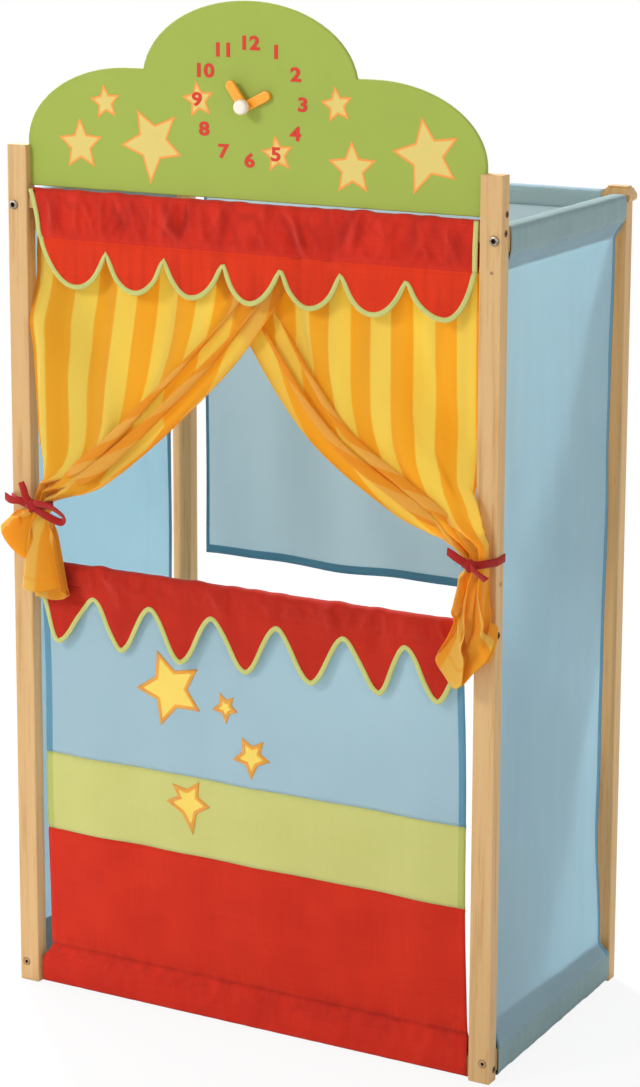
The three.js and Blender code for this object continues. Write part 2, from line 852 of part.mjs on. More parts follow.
function curtainEdges(curtain, row) {
  const fallen = Math.min(row / fanRows, 1);
  const necked = Math.min(Math.max((row - fanRows) / neckRows, 0), 1);
  const hung = Math.max((row - fanRows - neckRows) / tailRows, 0);
  const drop = curtainTop - neckTop;
  const outer = new THREE.Vector2(
    mix(curtainOuter, bundleMiddle + bundleHalf, Math.pow(fallen, outerGatherPower)),
    mix(curtainTop - drop * fallen, neckLow, necked),
  );
  const inner = new THREE.Vector2(
    mix(-curtainCrossing, bundleMiddle - bundleHalf, fallen),
    mix(curtainTop - drop * (1 - Math.pow(1 - fallen, innerGatherPower)), neckLow, necked),
  );
  outer.lerp(curtain.tailOuter, hung);
  inner.lerp(curtain.tailInner, hung);
  return { outer, inner, fallen, hung };
}

function curtainPleat({ fallen, hung }) {
  return mix(mix(curtainWave, bundlePleat, Math.pow(fallen, pleatGatherPower)), tailPleat, hung);
}

function curtainPlace(curtain, u, row) {
  const edges = curtainEdges(curtain, row);
  const { outer, inner, fallen, hung } = edges;
  const crossed = curtain.layer * smooth(2 * (u - crossingStartShare)) * (1 - smooth(fallen));
  const swing = smooth((fallen - swingStartShare) / (1 - swingStartShare));
  const middle = mix(mix(curtainSetback, -bundleReach, swing), -tailReach, hung);
  const y = middle + crossed + curtainPleat(edges) * Math.cos(2 * Math.PI * curtainPleats * u);
  return new THREE.Vector3(mix(outer.x, inner.x, u), y, mix(outer.y, inner.y, u));
}

function curtainSheet(curtain) {
  const rows = fanRows + neckRows + tailRows;
  const place = (u, v) => curtainPlace(curtain, 1 - u, v * rows);
  const thick = (v) => {
    const { fallen, hung } = curtainEdges(curtain, v * rows);
    return mix(mix(cloth, bundleThick, Math.pow(fallen, pleatGatherPower)), tailThick, hung);
  };
  return clothSheet(place, forward, thick, curtainPleats * 6, rows);
}

// A ribbon round a post and the gathered cloth, tied in a bow in front.

function convexOutline(points) {
  const sorted = [...points].sort((a, b) => a[0] - b[0] || a[1] - b[1]);
  const turns = (o, a, b) => (a[0] - o[0]) * (b[1] - o[1]) - (a[1] - o[1]) * (b[0] - o[0]);
  const half = (list) => {
    const chain = [];
    for (const point of list) {
      while (chain.length > 1 && turns(chain.at(-2), chain.at(-1), point) <= 0) chain.pop();
      chain.push(point);
    }
    return chain.slice(0, -1);
  };
  return [...half(sorted), ...half(sorted.reverse())];
}

function tieOutline(offset) {
  const points = [
    [innerHalf - offset, -offset],
    [outerHalf + offset, -offset],
    [outerHalf + offset, postDeep + offset],
    [innerHalf - offset, postDeep + offset],
  ];
  const steps = 16;
  for (let i = 0; i < steps; i++) {
    const angle = (2 * Math.PI * i) / steps;
    const radius = bundleRadius + offset;
    points.push([
      bundleMiddle + radius * Math.cos(angle),
      -bundleReach + radius * Math.sin(angle),
    ]);
  }
  return convexOutline(points);
}

function ribbonAlong(points) {
  const path = new THREE.CatmullRomCurve3(points.map(([x, y, z]) => new THREE.Vector3(x, y, z)));
  const section = rectangle(
    -ribbonThick / 2, ribbonThick / 2, -ribbonWide / 2, ribbonWide / 2);
  return new THREE.ExtrudeGeometry(section, { extrudePath: path, steps: 3 * points.length });
}

function tie(bow) {
  const ring = polygon(tieOutline(seatGap + ribbonThick));
  ring.holes.push(polygon(tieOutline(seatGap)));
  const band = seenFromAbove(ring, tieHeight - ribbonWide / 2, tieHeight + ribbonWide / 2);
  const knotPlace = [bundleMiddle, -bowReach, tieHeight];
  const knot = new THREE.SphereGeometry(knotRadius, knotSteps, knotSteps - 2);
  knot.scale(1, knotFlatShare, knotTallShare);
  knot.translate(...knotPlace);
  const tails = bow.map((steps) => {
    const route = steps.map(([across, out, rise]) => [
      bundleMiddle + bowSize * across, -bowReach - ribbonWide * out, tieHeight + bowSize * rise]);
    return ribbonAlong([knotPlace, ...route]);
  });
  return join(band, knot, ...tails);
}

// Each ribbon end's route: across and up as shares of the bow's size, out in ribbon widths.
const leftBowShares = [
  [[0.13, 0.3, 0.3], [0.23, 0.2, 0.57]],
  [[0.37, 0.2, 0.13], [0.67, 0.1, 0.17]],
  [[-0.37, 0.3, 0], [-0.8, 0.2, -0.13], [-0.93, 0.1, -0.27], [-0.73, 0.1, -0.37],
    [-0.33, 0.2, -0.17], [0, 0.1, 0]],
];
const rightBowShares = [
  [[-0.23, 0.3, 0.03], [-0.57, 0.2, 0.13]],
  [[0.17, 0.3, -0.17], [0.37, 0.2, -0.33]],
];

function addCurtains() {
  const leftOne = {
    tailOuter: new THREE.Vector2(innerHalf + leftTailOut, tieHeight - leftTailOuterFall),
    tailInner: new THREE.Vector2(innerHalf - leftTailIn, tieHeight - leftTailInnerFall),
    layer: 0,
  };
  const rightOne = {
    tailOuter: new THREE.Vector2(innerHalf + rightTailOut, tieHeight - rightTailOuterFall),
    tailInner: new THREE.Vector2(innerHalf - rightTailIn, tieHeight - rightTailInnerFall),
    layer: curtainLayerStep,
  };
  add("left_curtain", mirrored(curtainSheet(leftOne)), curtainCotton);
  add("right_curtain", curtainSheet(rightOne), curtainCotton);
  add("left_tie", mirrored(tie(leftBowShares)), redRibbon);
  add("right_tie", tie(rightBowShares), redRibbon);
}

// Lower front panel

function flatCloth(half, low, high) {
  const shape = rectangle(-half, half, low, high);
  return seenFromFront(shape, panelSetback - cloth / 2, panelSetback + cloth / 2);
}

function footPocket() {
  const rail = frontRails.foot;
  const outline = pocketOutline(
    rail.setback,
    frontRailDeep / 2,
    rail.low - seatGap - cloth,
    rail.high,
    footPocketSeam,
    panelSetback - rail.setback,
  );
  const pocket = seenFromSide(outline, -footPocketHalf, footPocketHalf);
  const corner = (side) => seenFromFront(
    polygon([
      [side * panelHalf, footPocketSeam],
      [side * (footPocketHalf + cutOverrun), rail.high],
      [side * (footPocketHalf + cutOverrun), footPocketSeam + cutOverrun],
      [side * panelHalf, footPocketSeam + cutOverrun],
    ]),
    -cutOverrun,
    postDeep + cutOverrun,
  );
  return cut(pocket, corner(1), corner(-1));
}

// Each star's place and reach, as shares of the panel's half width and of the sill's height
const starShares = [
  { across: -0.37, up: 0.75, reach: 0.16, turn: 22 },
  { across: -0.1, up: 0.73, reach: 0.063, turn: 35 },
  { across: 0.025, up: 0.632, reach: 0.088, turn: 36 },
  { across: -0.287, up: 0.5, reach: 0.107, turn: -30 },
];
const starWaistShare = 0.5;

function starOutline(star) {
  const points = [];
  for (let i = 0; i < 10; i++) {
    const angle = Math.PI / 2 + (Math.PI * i) / 5 + THREE.MathUtils.degToRad(star.turn);
    const radius = panelHalf * star.reach * (i % 2 ? starWaistShare : 1);
    const x = panelHalf * star.across + radius * Math.cos(angle);
    points.push([x, sillRailTop * star.up + radius * Math.sin(angle)]);
  }
  return polygon(points);
}

// The panel hangs from the seam that closes the sill valance's pocket under the rail.
function panelTop() {
  const rail = frontRails.sill;
  const pocketBack = frontRailDeep / 2 + seatGap + cloth;
  const seamBack = -frontRailDeep / 2 - seatGap;
  const share = (panelSetback - cloth / 2 - rail.setback - seamBack) / (pocketBack - seamBack);
  return mix(sillSkirtSeam, rail.low, share) - seatGap;
}

function addFrontPanel() {
  const blue = flatCloth(panelHalf, blueGreenSeam + seatGap, panelTop());
  add("front_panel_blue", blue, blueCotton);
  add("front_panel_green", flatCloth(panelHalf, greenRedSeam + seatGap, blueGreenSeam), limeCotton);
  const red = flatCloth(panelHalf, footPocketSeam - cloth, greenRedSeam);
  add("front_panel_red", join(red, footPocket()), redCotton);
  const starBack = panelSetback - cloth / 2 - seatGap;
  starShares.forEach((star, i) => {
    const shape = seenFromFront(starOutline(star), starBack - starThick, starBack);
    add(`panel_star_${i + 1}`, shape, starCotton);
  });
}

// Side panels and rear flap

function sidePocket(height, far, seam) {
  const toSeam = Math.sign(seam - far);
  const outline = pocketOutline(
    outerHalf - sideRailWide / 2,
    sideRailWide / 2,
    far,
    height + (toSeam * sideRailTall) / 2,
    seam,
    0,
  );
  const pocket = seenFromFront(outline, sidePocketFront, sidePocketRear);
  const nearRail = height + (toSeam * sideRailTall) / 2;
  const slant = seenFromSide(
    polygon([
      [sidePanelRear, seam],
      [sidePocketRear + cutOverrun, nearRail],
      [sidePocketRear + cutOverrun, seam + toSeam * cutOverrun],
      [sidePanelRear, seam + toSeam * cutOverrun],
    ]),
    innerHalf - cutOverrun,
    outerHalf + cutOverrun,
  );
  return cut(pocket, slant);
}

function sidePanel() {
  const railPlane = outerHalf - sideRailWide / 2;
  const folds = 5;
  const place = (u, v) => {
    const free = Math.sin(Math.PI * v);
    const x = railPlane + sidePanelWave * free * Math.sin(2 * Math.PI * folds * u);
    const y = mix(sidePanelFront, sidePanelRear, u);
    return new THREE.Vector3(x, y, mix(sidePanelSeam + cloth, sidePanelFootSeam - cloth, v));
  };
  const sheet = clothSheet(place, right, evenCloth, folds * 4, 5);
  const top = sidePocket(
    topRailMiddle, topRailMiddle + sideRailTall / 2 + seatGap + cloth, sidePanelSeam);
  const bottom = sidePocket(bottomRailMiddle, sidePanelFoot, sidePanelFootSeam);
  return leanIn(join(top, sheet, bottom));
}

// The flap's pocket is a round sleeve that closes to a point at the seam.
function sleeveOutline(radius, seam, half) {
  const fall = rodHeight - seam;
  const touch = Math.asin(radius / fall);
  const shape = new THREE.Shape();
  shape.absarc(rodSetback, rodHeight, radius, -touch, Math.PI + touch);
  shape.lineTo(rodSetback - half, seam);
  shape.lineTo(rodSetback + half, seam);
  shape.closePath();
  return shape;
}

function rearFlap() {
  const inside = rodRadius + 2 * seatGap;
  const outline = sleeveOutline(inside + cloth, flapSeam, cloth);
  outline.holes.push(sleeveOutline(inside, flapSeam + 2 * cloth, cloth / 4));
  const sleeve = seenFromSide(outline, -flapPocketHalf, flapPocketHalf, 0, 8);
  const folds = 4;
  const place = (u, v) => {
    const x = mix(-flapHalf, flapHalf, u);
    const y = rodSetback + flapWave * smooth(v) * Math.sin(2 * Math.PI * folds * u);
    return new THREE.Vector3(x, y, mix(flapSeam + cloth, flapBottom, v));
  };
  return join(sleeve, clothSheet(place, forward, evenCloth, folds * 6, 4));
}

function addHangings() {
  const valance = [valanceSeam, valanceFall, scallopDepth, scallopRoundness];
  const sillSkirt = [sillSkirtSeam, sillSkirtFall, lobeDepth, lobeRoundness];
  addSkirt("top_valance", frontRails.valance, ...valance);
  addSkirt("sill_valance", frontRails.sill, ...sillSkirt);
  addCurtains();
  addFrontPanel();
  addPair((side) => `${side}_side_panel`, sidePanel(), blueCotton);
  add("rear_curtain", rearFlap(), blueCotton);
}

addFrame();
addFasteners();
addHeadboard();
addClock();
addHangings();

export default stand;
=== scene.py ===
"""A puppet theater stand for children: a beech frame with a painted clock headboard, hung all
round with cotton cloth. Metres. X runs to the right as seen from the front, Y to the back, Z up."""
import json
import math

import bmesh
import bpy
from mathutils import Matrix, Vector, noise


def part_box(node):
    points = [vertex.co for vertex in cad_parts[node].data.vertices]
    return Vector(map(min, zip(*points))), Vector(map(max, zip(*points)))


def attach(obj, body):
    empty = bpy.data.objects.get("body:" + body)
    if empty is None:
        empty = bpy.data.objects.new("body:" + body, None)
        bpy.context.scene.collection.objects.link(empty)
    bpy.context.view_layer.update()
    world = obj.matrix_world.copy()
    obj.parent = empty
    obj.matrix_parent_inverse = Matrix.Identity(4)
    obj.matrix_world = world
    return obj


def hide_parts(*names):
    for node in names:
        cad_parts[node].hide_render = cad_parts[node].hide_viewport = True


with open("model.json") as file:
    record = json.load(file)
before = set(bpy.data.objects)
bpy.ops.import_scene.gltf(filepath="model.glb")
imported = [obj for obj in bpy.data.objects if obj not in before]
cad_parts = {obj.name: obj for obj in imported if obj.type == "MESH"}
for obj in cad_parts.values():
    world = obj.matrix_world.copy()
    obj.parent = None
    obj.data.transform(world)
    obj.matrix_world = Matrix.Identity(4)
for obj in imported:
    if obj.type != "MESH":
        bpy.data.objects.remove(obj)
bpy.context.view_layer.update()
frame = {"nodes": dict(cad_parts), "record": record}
bpy.ops.object.select_all(action="DESELECT")
scene = bpy.context.scene
scene.view_settings.view_transform = "Standard"


# Camera, at the photograph's viewing angle

camera_place = Vector((1.8585, -3.3207, 1.5471))
camera_turn = (math.radians(78.965), math.radians(29.163), math.radians(0.203))
camera_lens = 96.85
camera_rise = -0.1241


def add_object(name, data):
    made = bpy.data.objects.new(name, data)
    scene.collection.objects.link(made)
    return made


def add_camera():
    camera = add_object("camera", bpy.data.cameras.new("camera"))
    tilt, heading, roll = camera_turn
    turn = Matrix.Rotation(heading, 4, "Z") @ Matrix.Rotation(tilt, 4, "X")
    camera.matrix_world = Matrix.Translation(camera_place) @ turn @ Matrix.Rotation(roll, 4, "Z")
    camera.data.lens = camera_lens
    camera.data.shift_y = camera_rise
    scene.camera = camera


add_camera()


# Shader maths and finishes

def rgb(red, green, blue):
    """A colour as it looks on a screen, 0 to 255 each, as linear light with an alpha of 1."""
    shares = [channel / 255 for channel in (red, green, blue)]
    return (*[s / 12.92 if s <= 0.04045 else ((s + 0.055) / 1.055) ** 2.4 for s in shares], 1)


class Value:
    """A socket that varies over a surface. An operator on it adds a Math node."""

    def __init__(self, finish, socket):
        self.finish = finish
        self.socket = socket

    def math(self, operation, *others):
        return self.finish.node("Math", {"operation": operation}, dict(enumerate((self, *others))))

    def __add__(self, other):
        return self.math("ADD", other)

    def __sub__(self, other):
        return self.math("SUBTRACT", other)

    def __mul__(self, other):
        return self.math("MULTIPLY", other)

    def __truediv__(self, other):
        return self.math("DIVIDE", other)


class Finish:
    """A material while its nodes are put together."""

    def __init__(self, name):
        self.material = bpy.data.materials.new(name)
        self.material.use_nodes = True
        self.tree = self.material.node_tree
        self.surface = self.tree.nodes["Principled BSDF"]

    def feed(self, socket, value):
        """Links a varying value to a socket, or sets a constant one."""
        if isinstance(value, Value):
            self.tree.links.new(value.socket, socket)
        else:
            socket.default_value = value

    def node(self, kind, settings=None, values=None, output=0):
        """A new node with its settings and inputs, as the value of one of its outputs."""
        made = self.tree.nodes.new("ShaderNode" + kind)
        for name, setting in (settings or {}).items():
            setattr(made, name, setting)
        for name, value in (values or {}).items():
            self.feed(made.inputs[name], value)
        return Value(self, made.outputs[output])

    def set(self, values):
        for name, value in values.items():
            self.feed(self.surface.inputs[name], value)

    def object_place(self, scale=(1, 1, 1)):
        """A place in the object's own metres."""
        place = self.node("TexCoord", output="Object")
        return self.node("Mapping", values={"Vector": place, "Scale": scale})

    def flat_place(self, scale=(1, 1, 1)):
        """A place on a sheet as it was cut, in metres across and down."""
        place = self.node("UVMap", {"uv_map": "flat"})
        return self.node("Mapping", values={"Vector": place, "Scale": scale})

    def axes(self, place):
        """The place's own values along X and Y."""
        split = self.node("SeparateXYZ", values={"Vector": place})
        outputs = split.socket.node.outputs
        return [Value(self, outputs[axis]) for axis in ("X", "Y")]

    def noise(self, place, scale, detail=2, roughness=0.5):
        values = {"Vector": place, "Scale": scale, "Detail": detail, "Roughness": roughness}
        return self.node("TexNoise", values=values)

    def between(self, value, low, high):
        """The value's share of the way from low to high, held to 0 and 1."""
        return self.node("MapRange", values={"Value": value, "From Min": low, "From Max": high})

    def mix(self, share, first, second):
        """Two colours mixed: none of the second at a share of 0."""
        made = self.node("Mix", {"data_type": "RGBA"}, {"Factor": share}, "Result")
        node = made.socket.node
        self.feed(node.inputs[6], first)
        self.feed(node.inputs[7], second)
        return Value(self, node.outputs[2])

    def bump(self, height, distance, strength):
        values = {"Height": height, "Distance": distance, "Strength": strength}
        self.set({"Normal": self.node("Bump", values=values)})

    def glow(self, colour):
        """The light that comes through thin cloth, in its colour."""
        return self.node("BsdfTranslucent", values={"Color": colour}).socket

    def blend(self, share, first, second):
        """Two shaders mixed: none of the second at a share of 0."""
        node = self.node("MixShader", values={"Fac": share}).socket.node
        self.tree.links.new(first, node.inputs[1])
        self.tree.links.new(second, node.inputs[2])
        return node.outputs[0]

    def cover(self, share, shader):
        """Puts a share of another shader over the surface."""
        mixed = self.blend(share, self.surface.outputs[0], shader)
        self.tree.links.new(mixed, self.tree.nodes["Material Output"].inputs["Surface"])


# Wood: fine straight grain along one axis, with broad soft bands and short pores

beech_light = rgb(213, 176, 123)
beech_middle = rgb(203, 161, 105)
beech_dark = rgb(180, 131, 77)
knot_brown = rgb(120, 78, 44)
# Knots: middle and reach, for each finish that shows them
knots = {"beech_upright": [((0.359, -0.178, 0.651), 0.0042), ((0.346, -0.1892, 1.036), 0.0030)]}
along_grain, across_grain = 7, 160
band_along, band_across = 1.3, 34
pore_fineness = 5


def drawn_out(along, across, axis):
    """A noise's scale on three axes, drawn out along one of them."""
    scale = [across] * 3
    scale[axis] = along
    return scale


def beech(name, axis):
    finish = Finish(name)
    grain_scale = drawn_out(along_grain, across_grain, axis)
    pore_scale = [scale * pore_fineness for scale in grain_scale]
    streaks = finish.noise(finish.object_place(grain_scale), 1, 4, 0.62)
    bands = finish.noise(finish.object_place(drawn_out(band_along, band_across, axis)), 1, 3, 0.5)
    pores = finish.between(finish.noise(finish.object_place(pore_scale), 1, 1), 0.66, 0.78)
    tone = finish.between(bands * 0.6 + streaks * 0.4, 0.33, 0.66)
    wood = finish.mix(tone, beech_light, beech_middle)
    wood = finish.mix(finish.between(streaks, 0.54, 0.74) * 0.7, wood, beech_dark)
    for middle, size in knots.get(name, []):
        away = finish.node("VectorMath", {"operation": "DISTANCE"},
                           {0: finish.object_place(), 1: middle}, "Value")
        wood = finish.mix(finish.between(away, size, size * 0.4) * 0.75, wood, knot_brown)
    wood = finish.mix(pores * 0.35, wood, beech_dark)
    finish.set({"Base Color": wood, "Roughness": streaks * 0.2 + 0.42, "Specular IOR Level": 0.4})
    finish.bump(streaks * 0.4 - pores, 0.0002, 0.35)
    return finish.material


# Paint, plastic and metal

def paint(name, colour, darker, roughness, coat=0.0):
    """A smooth coat of paint, ink or plastic, with soft and fine drifts in its shade."""
    finish = Finish(name)
    broad = finish.noise(finish.object_place(), 6, 3, 0.6)
    fine = finish.noise(finish.object_place(), 420, 2, 0.6)
    shade = finish.between(broad, 0.3, 0.7) * 0.5 + finish.between(fine, 0.35, 0.65) * 0.12
    finish.set({"Base Color": finish.mix(shade, colour, darker)})
    finish.set({"Roughness": fine * 0.16 + roughness, "Coat Weight": coat, "Coat Roughness": 0.2})
    finish.bump(fine, 0.00012, 0.25)
    return finish.material


def metal(name, colour, darker, roughness):
    """Pressed metal, a little spotted."""
    finish = Finish(name)
    spots = finish.noise(finish.object_place(), 900, 3, 0.6)
    broad = finish.between(finish.noise(finish.object_place(), 240, 2), 0.3, 0.7)
    finish.set({"Base Color": finish.mix(broad, colour, darker)})
    finish.set({"Roughness": spots * 0.25 + roughness, "Metallic": 1})
    finish.bump(spots, 0.00005, 0.4)
    return finish.material


# Cloth: a plain weave of warp and weft, with thicker threads here and there

thread = 0.00055
slub_along = 9
slub_across = 900


def weave(finish):
    """The height of the threads, and how light the cloth is where single threads differ."""
    across, down = finish.axes(finish.flat_place([math.tau / thread] * 3))
    over = across.math("SINE") * down.math("SINE")
    warp = finish.noise(finish.flat_place((slub_across, slub_along, 1)), 1, 2, 0.6)
    weft = finish.noise(finish.flat_place((slub_along, slub_across, 1)), 1, 2, 0.6)
    threads = warp * 0.5 + weft * 0.5
    return over * 0.5 + threads * 1.5, threads


def cotton(name, colour, darker, through=0.0, sheen=0.25, creased=None):
    """Plain cloth. Its colour drifts a little, as washed cotton does, and its creases may be painted
    darker: painted shade.
    A share of the light comes through it."""
    finish = Finish(name)
    height, threads = weave(finish)
    drift = finish.noise(finish.flat_place(), 14, 3, 0.55)
    shade = finish.between(threads, 0.36, 0.64) * 0.45 + finish.between(drift, 0.3, 0.7) * 0.5
    dyed = finish.mix(shade, colour, darker)
    if creased:
        # Painted shade: the creases are mixed towards a deep colour, by a per-vertex attribute.
        fold = finish.node("Attribute", {"attribute_name": "fold"}, output="Fac")
        dyed = finish.mix(fold * 0.5, dyed, creased)
    finish.set({"Base Color": dyed, "Roughness": threads * 0.15 + 0.8})
    set_cloth(finish, sheen)
    finish.bump(height, 0.00012, 0.5)
    if through:
        finish.cover(through, finish.glow(colour))
    return finish.material


def set_cloth(finish, sheen):
    """What every cloth has in common."""
    finish.set({"Sheen Weight": sheen, "Sheen Roughness": 0.5, "Specular IOR Level": 0.2})


stripe_pitch = 0.06
stripe_start = 0.021


def striped_cotton(name, pale, deep, glow, through):
    """Curtain cloth, with upright stripes of one pitch, and a warmer colour painted deep in its
    folds: painted shade, and a painted glow of the light through them.
    """
    finish = Finish(name)
    height, threads = weave(finish)
    across, _ = finish.axes(finish.flat_place())
    phase = ((across + stripe_start) / stripe_pitch).math("FRACT")
    stripe = finish.between(phase, 0.49, 0.51) - finish.between(phase, 0.98, 1.0)
    drift = finish.between(finish.noise(finish.flat_place(), 11, 3, 0.55), 0.3, 0.7)
    fold = finish.node("Attribute", {"attribute_name": "fold"}, output="Fac")
    dyed = finish.mix(stripe, deep, pale)
    dyed = finish.mix(drift * 0.16 + finish.between(threads, 0.36, 0.64) * 0.14, dyed, glow)
    # Painted shade: deep in the folds the colour is mixed towards the warm third colour.
    dyed = finish.mix(fold * 0.55, dyed, glow)
    finish.set({"Base Color": dyed, "Roughness": threads * 0.15 + 0.75})
    set_cloth(finish, 0.2)
    finish.bump(height, 0.0001, 0.4)
    light = finish.blend(stripe, finish.glow(deep), finish.glow(pale))
    # The light through the cloth is warmer deep in the folds too: a painted glow.
    finish.cover(through, finish.blend(fold * 0.6, light, finish.glow(glow)))
    return finish.material


stitch_pitch = 0.0009


def stitched(name, colour, darker):
    """Satin stitches side by side: the flat map runs along the row in metres."""
    finish = Finish(name)
    along, _ = finish.axes(finish.flat_place())
    ridge = (along * (math.tau / stitch_pitch)).math("SINE")
    uneven = finish.noise(finish.flat_place((300, 40, 1)), 1, 2)
    # Between the stitches the colour is painted darker: painted shade; the rest of its drift is
    # uneven thread.
    shade = finish.between(ridge + uneven, -0.6, 1.6)
    finish.set({"Base Color": finish.mix(shade, darker, colour), "Roughness": uneven * 0.1 + 0.6})
    set_cloth(finish, 0.3)
    finish.bump(ridge, 0.00025, 0.7)
    return finish.material


# The deep colour painted into the red cloth's creases: painted shade.
crease_shade_red = rgb(120, 12, 8)
red_sheen = 0.08

# Each finish: the function that makes it, and what the function is given
recipes = {
    "beech_upright": (beech, 2),
    "beech_across": (beech, 0),
    "beech_deep": (beech, 1),
    "green_paint": (paint, rgb(153, 170, 63), rgb(145, 162, 57), 0.5),
    "orange_paint": (paint, rgb(250, 165, 35), rgb(245, 152, 28), 0.28, 0.3),
    "cream_plastic": (paint, rgb(240, 230, 214), rgb(230, 218, 198), 0.3, 0.2),
    "star_print": (paint, rgb(217, 195, 109), rgb(211, 187, 98), 0.55),
    "orange_print": (paint, rgb(236, 152, 62), rgb(230, 144, 55), 0.55),
    "red_print": (paint, rgb(208, 50, 28), rgb(198, 43, 24), 0.6),
    "steel": (metal, rgb(176, 168, 152), rgb(130, 122, 108), 0.25),
    "dark_steel": (metal, rgb(128, 100, 76), rgb(92, 68, 50), 0.4),
    # Dark finish for sockets and sunk rims: painted shade in the recesses.
    "socket_black": (metal, rgb(52, 40, 30), rgb(30, 22, 16), 0.5),
    "bronze": (metal, rgb(206, 168, 128), rgb(160, 124, 90), 0.35),
    "red_cotton": (cotton, rgb(222, 52, 24), rgb(196, 38, 19), 0.15, red_sheen, crease_shade_red),
    # A darker copy of the red, for the doubled pockets, sleeve and hems: painted shade of the
    # doubled, wrinkled cloth.
    "red_pocket": (cotton, rgb(212, 46, 22), rgb(186, 34, 18), 0.0, red_sheen, crease_shade_red),
    # The sill's red is a darker copy of the same cloth: painted shade for the curtains' shadow over
    # it.
    "red_sill": (cotton, rgb(196, 42, 20), rgb(172, 32, 16), 0.05, red_sheen, crease_shade_red),
    "red_skirt": (cotton, rgb(236, 62, 22), rgb(214, 48, 19), 0.15, red_sheen, crease_shade_red),
    "green_tape": (cotton, rgb(196, 199, 120), rgb(179, 182, 102), 0.0, 0.2),
    # The third colour is painted deep in the curtain's folds: painted shade and glow.
    "striped_cotton": (striped_cotton, rgb(250, 228, 114), rgb(250, 198, 56), rgb(248, 163, 32),
                       0.56),
    "red_ribbon": (cotton, rgb(170, 34, 28), rgb(140, 22, 20), 0.0, 0.1),
    "blue_cotton": (cotton, rgb(201, 223, 230), rgb(189, 215, 224), 0.55),
    # The side panels' blue is a slightly darker copy of the same cloth: painted shade.
    "blue_side": (cotton, rgb(196, 221, 230), rgb(184, 212, 223), 0.55),
    # A darker copy of the blue for the doubled pockets: painted shade, for the light a double layer
    # keeps out.
    "blue_pocket": (cotton, rgb(157, 184, 186), rgb(139, 168, 171), 0.2),
    # The rear curtain's blue is the same cloth, greyed: painted shade for the little light behind it.
    "blue_worn": (cotton, rgb(208, 223, 228), rgb(197, 214, 220), 0.66),
    "blue_sleeve": (cotton, rgb(184, 214, 230), rgb(168, 200, 219), 0.15),
    # Hems are darker copies of the blue and lime: painted shade, for the light a double layer keeps
    # out.
    "blue_hem": (cotton, rgb(116, 172, 196), rgb(100, 156, 182), 0.3),
    "lime_cotton": (cotton, rgb(222, 222, 142), rgb(212, 212, 128), 0.3),
    "lime_hem": (cotton, rgb(192, 200, 112), rgb(180, 188, 98), 0.15),
    "star_cotton": (cotton, rgb(240, 210, 100), rgb(232, 200, 88), 0.0),
    "orange_stitches": (stitched, rgb(255, 184, 62), rgb(252, 160, 42)),
}
finishes = {name: make(name, *given) for name, (make, *given) in recipes.items()}


# Frame pieces whose shape stays as it is. A wooden bar has its grain lengthwise.

kept_nodes = {
    "beech_upright": ["front_right_post", "front_left_post", "rear_right_post", "rear_left_post",
                      "rear_right_cap", "rear_left_cap"],
    "beech_across": ["valance_rail", "sill_rail", "foot_rail", "rear_rod"],
    "beech_deep": ["right_top_rail", "left_top_rail", "right_bottom_rail", "left_bottom_rail"],
    "green_paint": ["headboard"],
    "steel": ["clock_nut"],
}


def paint_node(node, finish):
    piece = frame["nodes"][node]
    piece.data.materials.clear()
    piece.data.materials.append(finishes[finish])


for finish_name, node_names in kept_nodes.items():
    for node_name in node_names:
        paint_node(node_name, finish_name)
for subpart in frame["record"]["subparts"]:
    if subpart["material_slot"] in ("steel", "dark_steel"):
        paint_node(subpart["node"], subpart["material_slot"])


# Places on the frame that the pieces follow

post_low, post_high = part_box("front_right_post")
board_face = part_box("headboard")[0].y
outer_half, inner_half = post_high.x, post_low.x
post_front, post_back = post_low.y, post_high.y


# Modelling by hand: vertices or faces are picked in edit mode, and the piece is settled when done

def pick(piece, kind, chosen):
    """Selects the vertices or faces that a test chooses, in edit mode."""
    bpy.ops.object.mode_set(mode="EDIT")
    bpy.ops.mesh.select_mode(type=kind)
    bpy.ops.mesh.select_all(action="DESELECT")
    shape = bmesh.from_edit_mesh(piece.data)
    items = shape.faces if kind == "FACE" else shape.verts
    for item in items:
        item.select_set(chosen(item))
    shape.select_flush_mode()
    bmesh.update_edit_mesh(piece.data)


def push(distance):
    """Extrudes what is selected along Z."""
    bpy.ops.mesh.extrude_region_move(TRANSFORM_OT_translate={"value": (0, 0, distance)})


def facing_up(face):
    return face.normal.z > 0.9


def facing_down(face):
    return face.normal.z < -0.9


bevel_from = math.radians(50)
smooth_under = math.radians(35)


def apply_bevel(piece, width, segments):
    """Rounds every edge that turns sharply."""
    bpy.ops.object.mode_set(mode="OBJECT")
    bevel = piece.modifiers.new("edge", "BEVEL")
    bevel.width = width
    bevel.segments = segments
    bevel.limit_method = "ANGLE"
    bevel.angle_limit = bevel_from
    bpy.ops.object.modifier_apply(modifier=bevel.name)


def settle(piece, name, finish, body, replaced=()):
    """Puts a finished piece's place into its mesh, and hangs it on its body."""
    bpy.ops.object.mode_set(mode="OBJECT")
    bpy.ops.object.select_all(action="DESELECT")
    piece.select_set(True)
    bpy.context.view_layer.objects.active = piece
    bpy.ops.object.transform_apply(location=True, rotation=True, scale=True)
    bpy.ops.object.shade_smooth_by_angle(angle=smooth_under)
    piece.name = piece.data.name = name
    if finish:
        piece.data.materials.append(finishes[finish])
    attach(piece, body)
    if replaced:
        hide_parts(*replaced)
    piece.select_set(False)
    return piece


# Turns of a piece modelled along Z, so that its top faces that way
quarter = math.radians(90)
face_front = (quarter, 0, 0)
face_back = (-quarter, 0, 0)
face_right = (0, quarter, 0)
face_left = (0, -quarter, 0)


# Clock hands, the pin with its cap, and the heads of the bolts and screws

hand_round = 32
hand_edge = 0.0014
hand_length = 0.038
hand_share = 6.5 / 8
nut_low, nut_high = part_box("clock_nut")
clock_up = (nut_low.z + nut_high.z) / 2


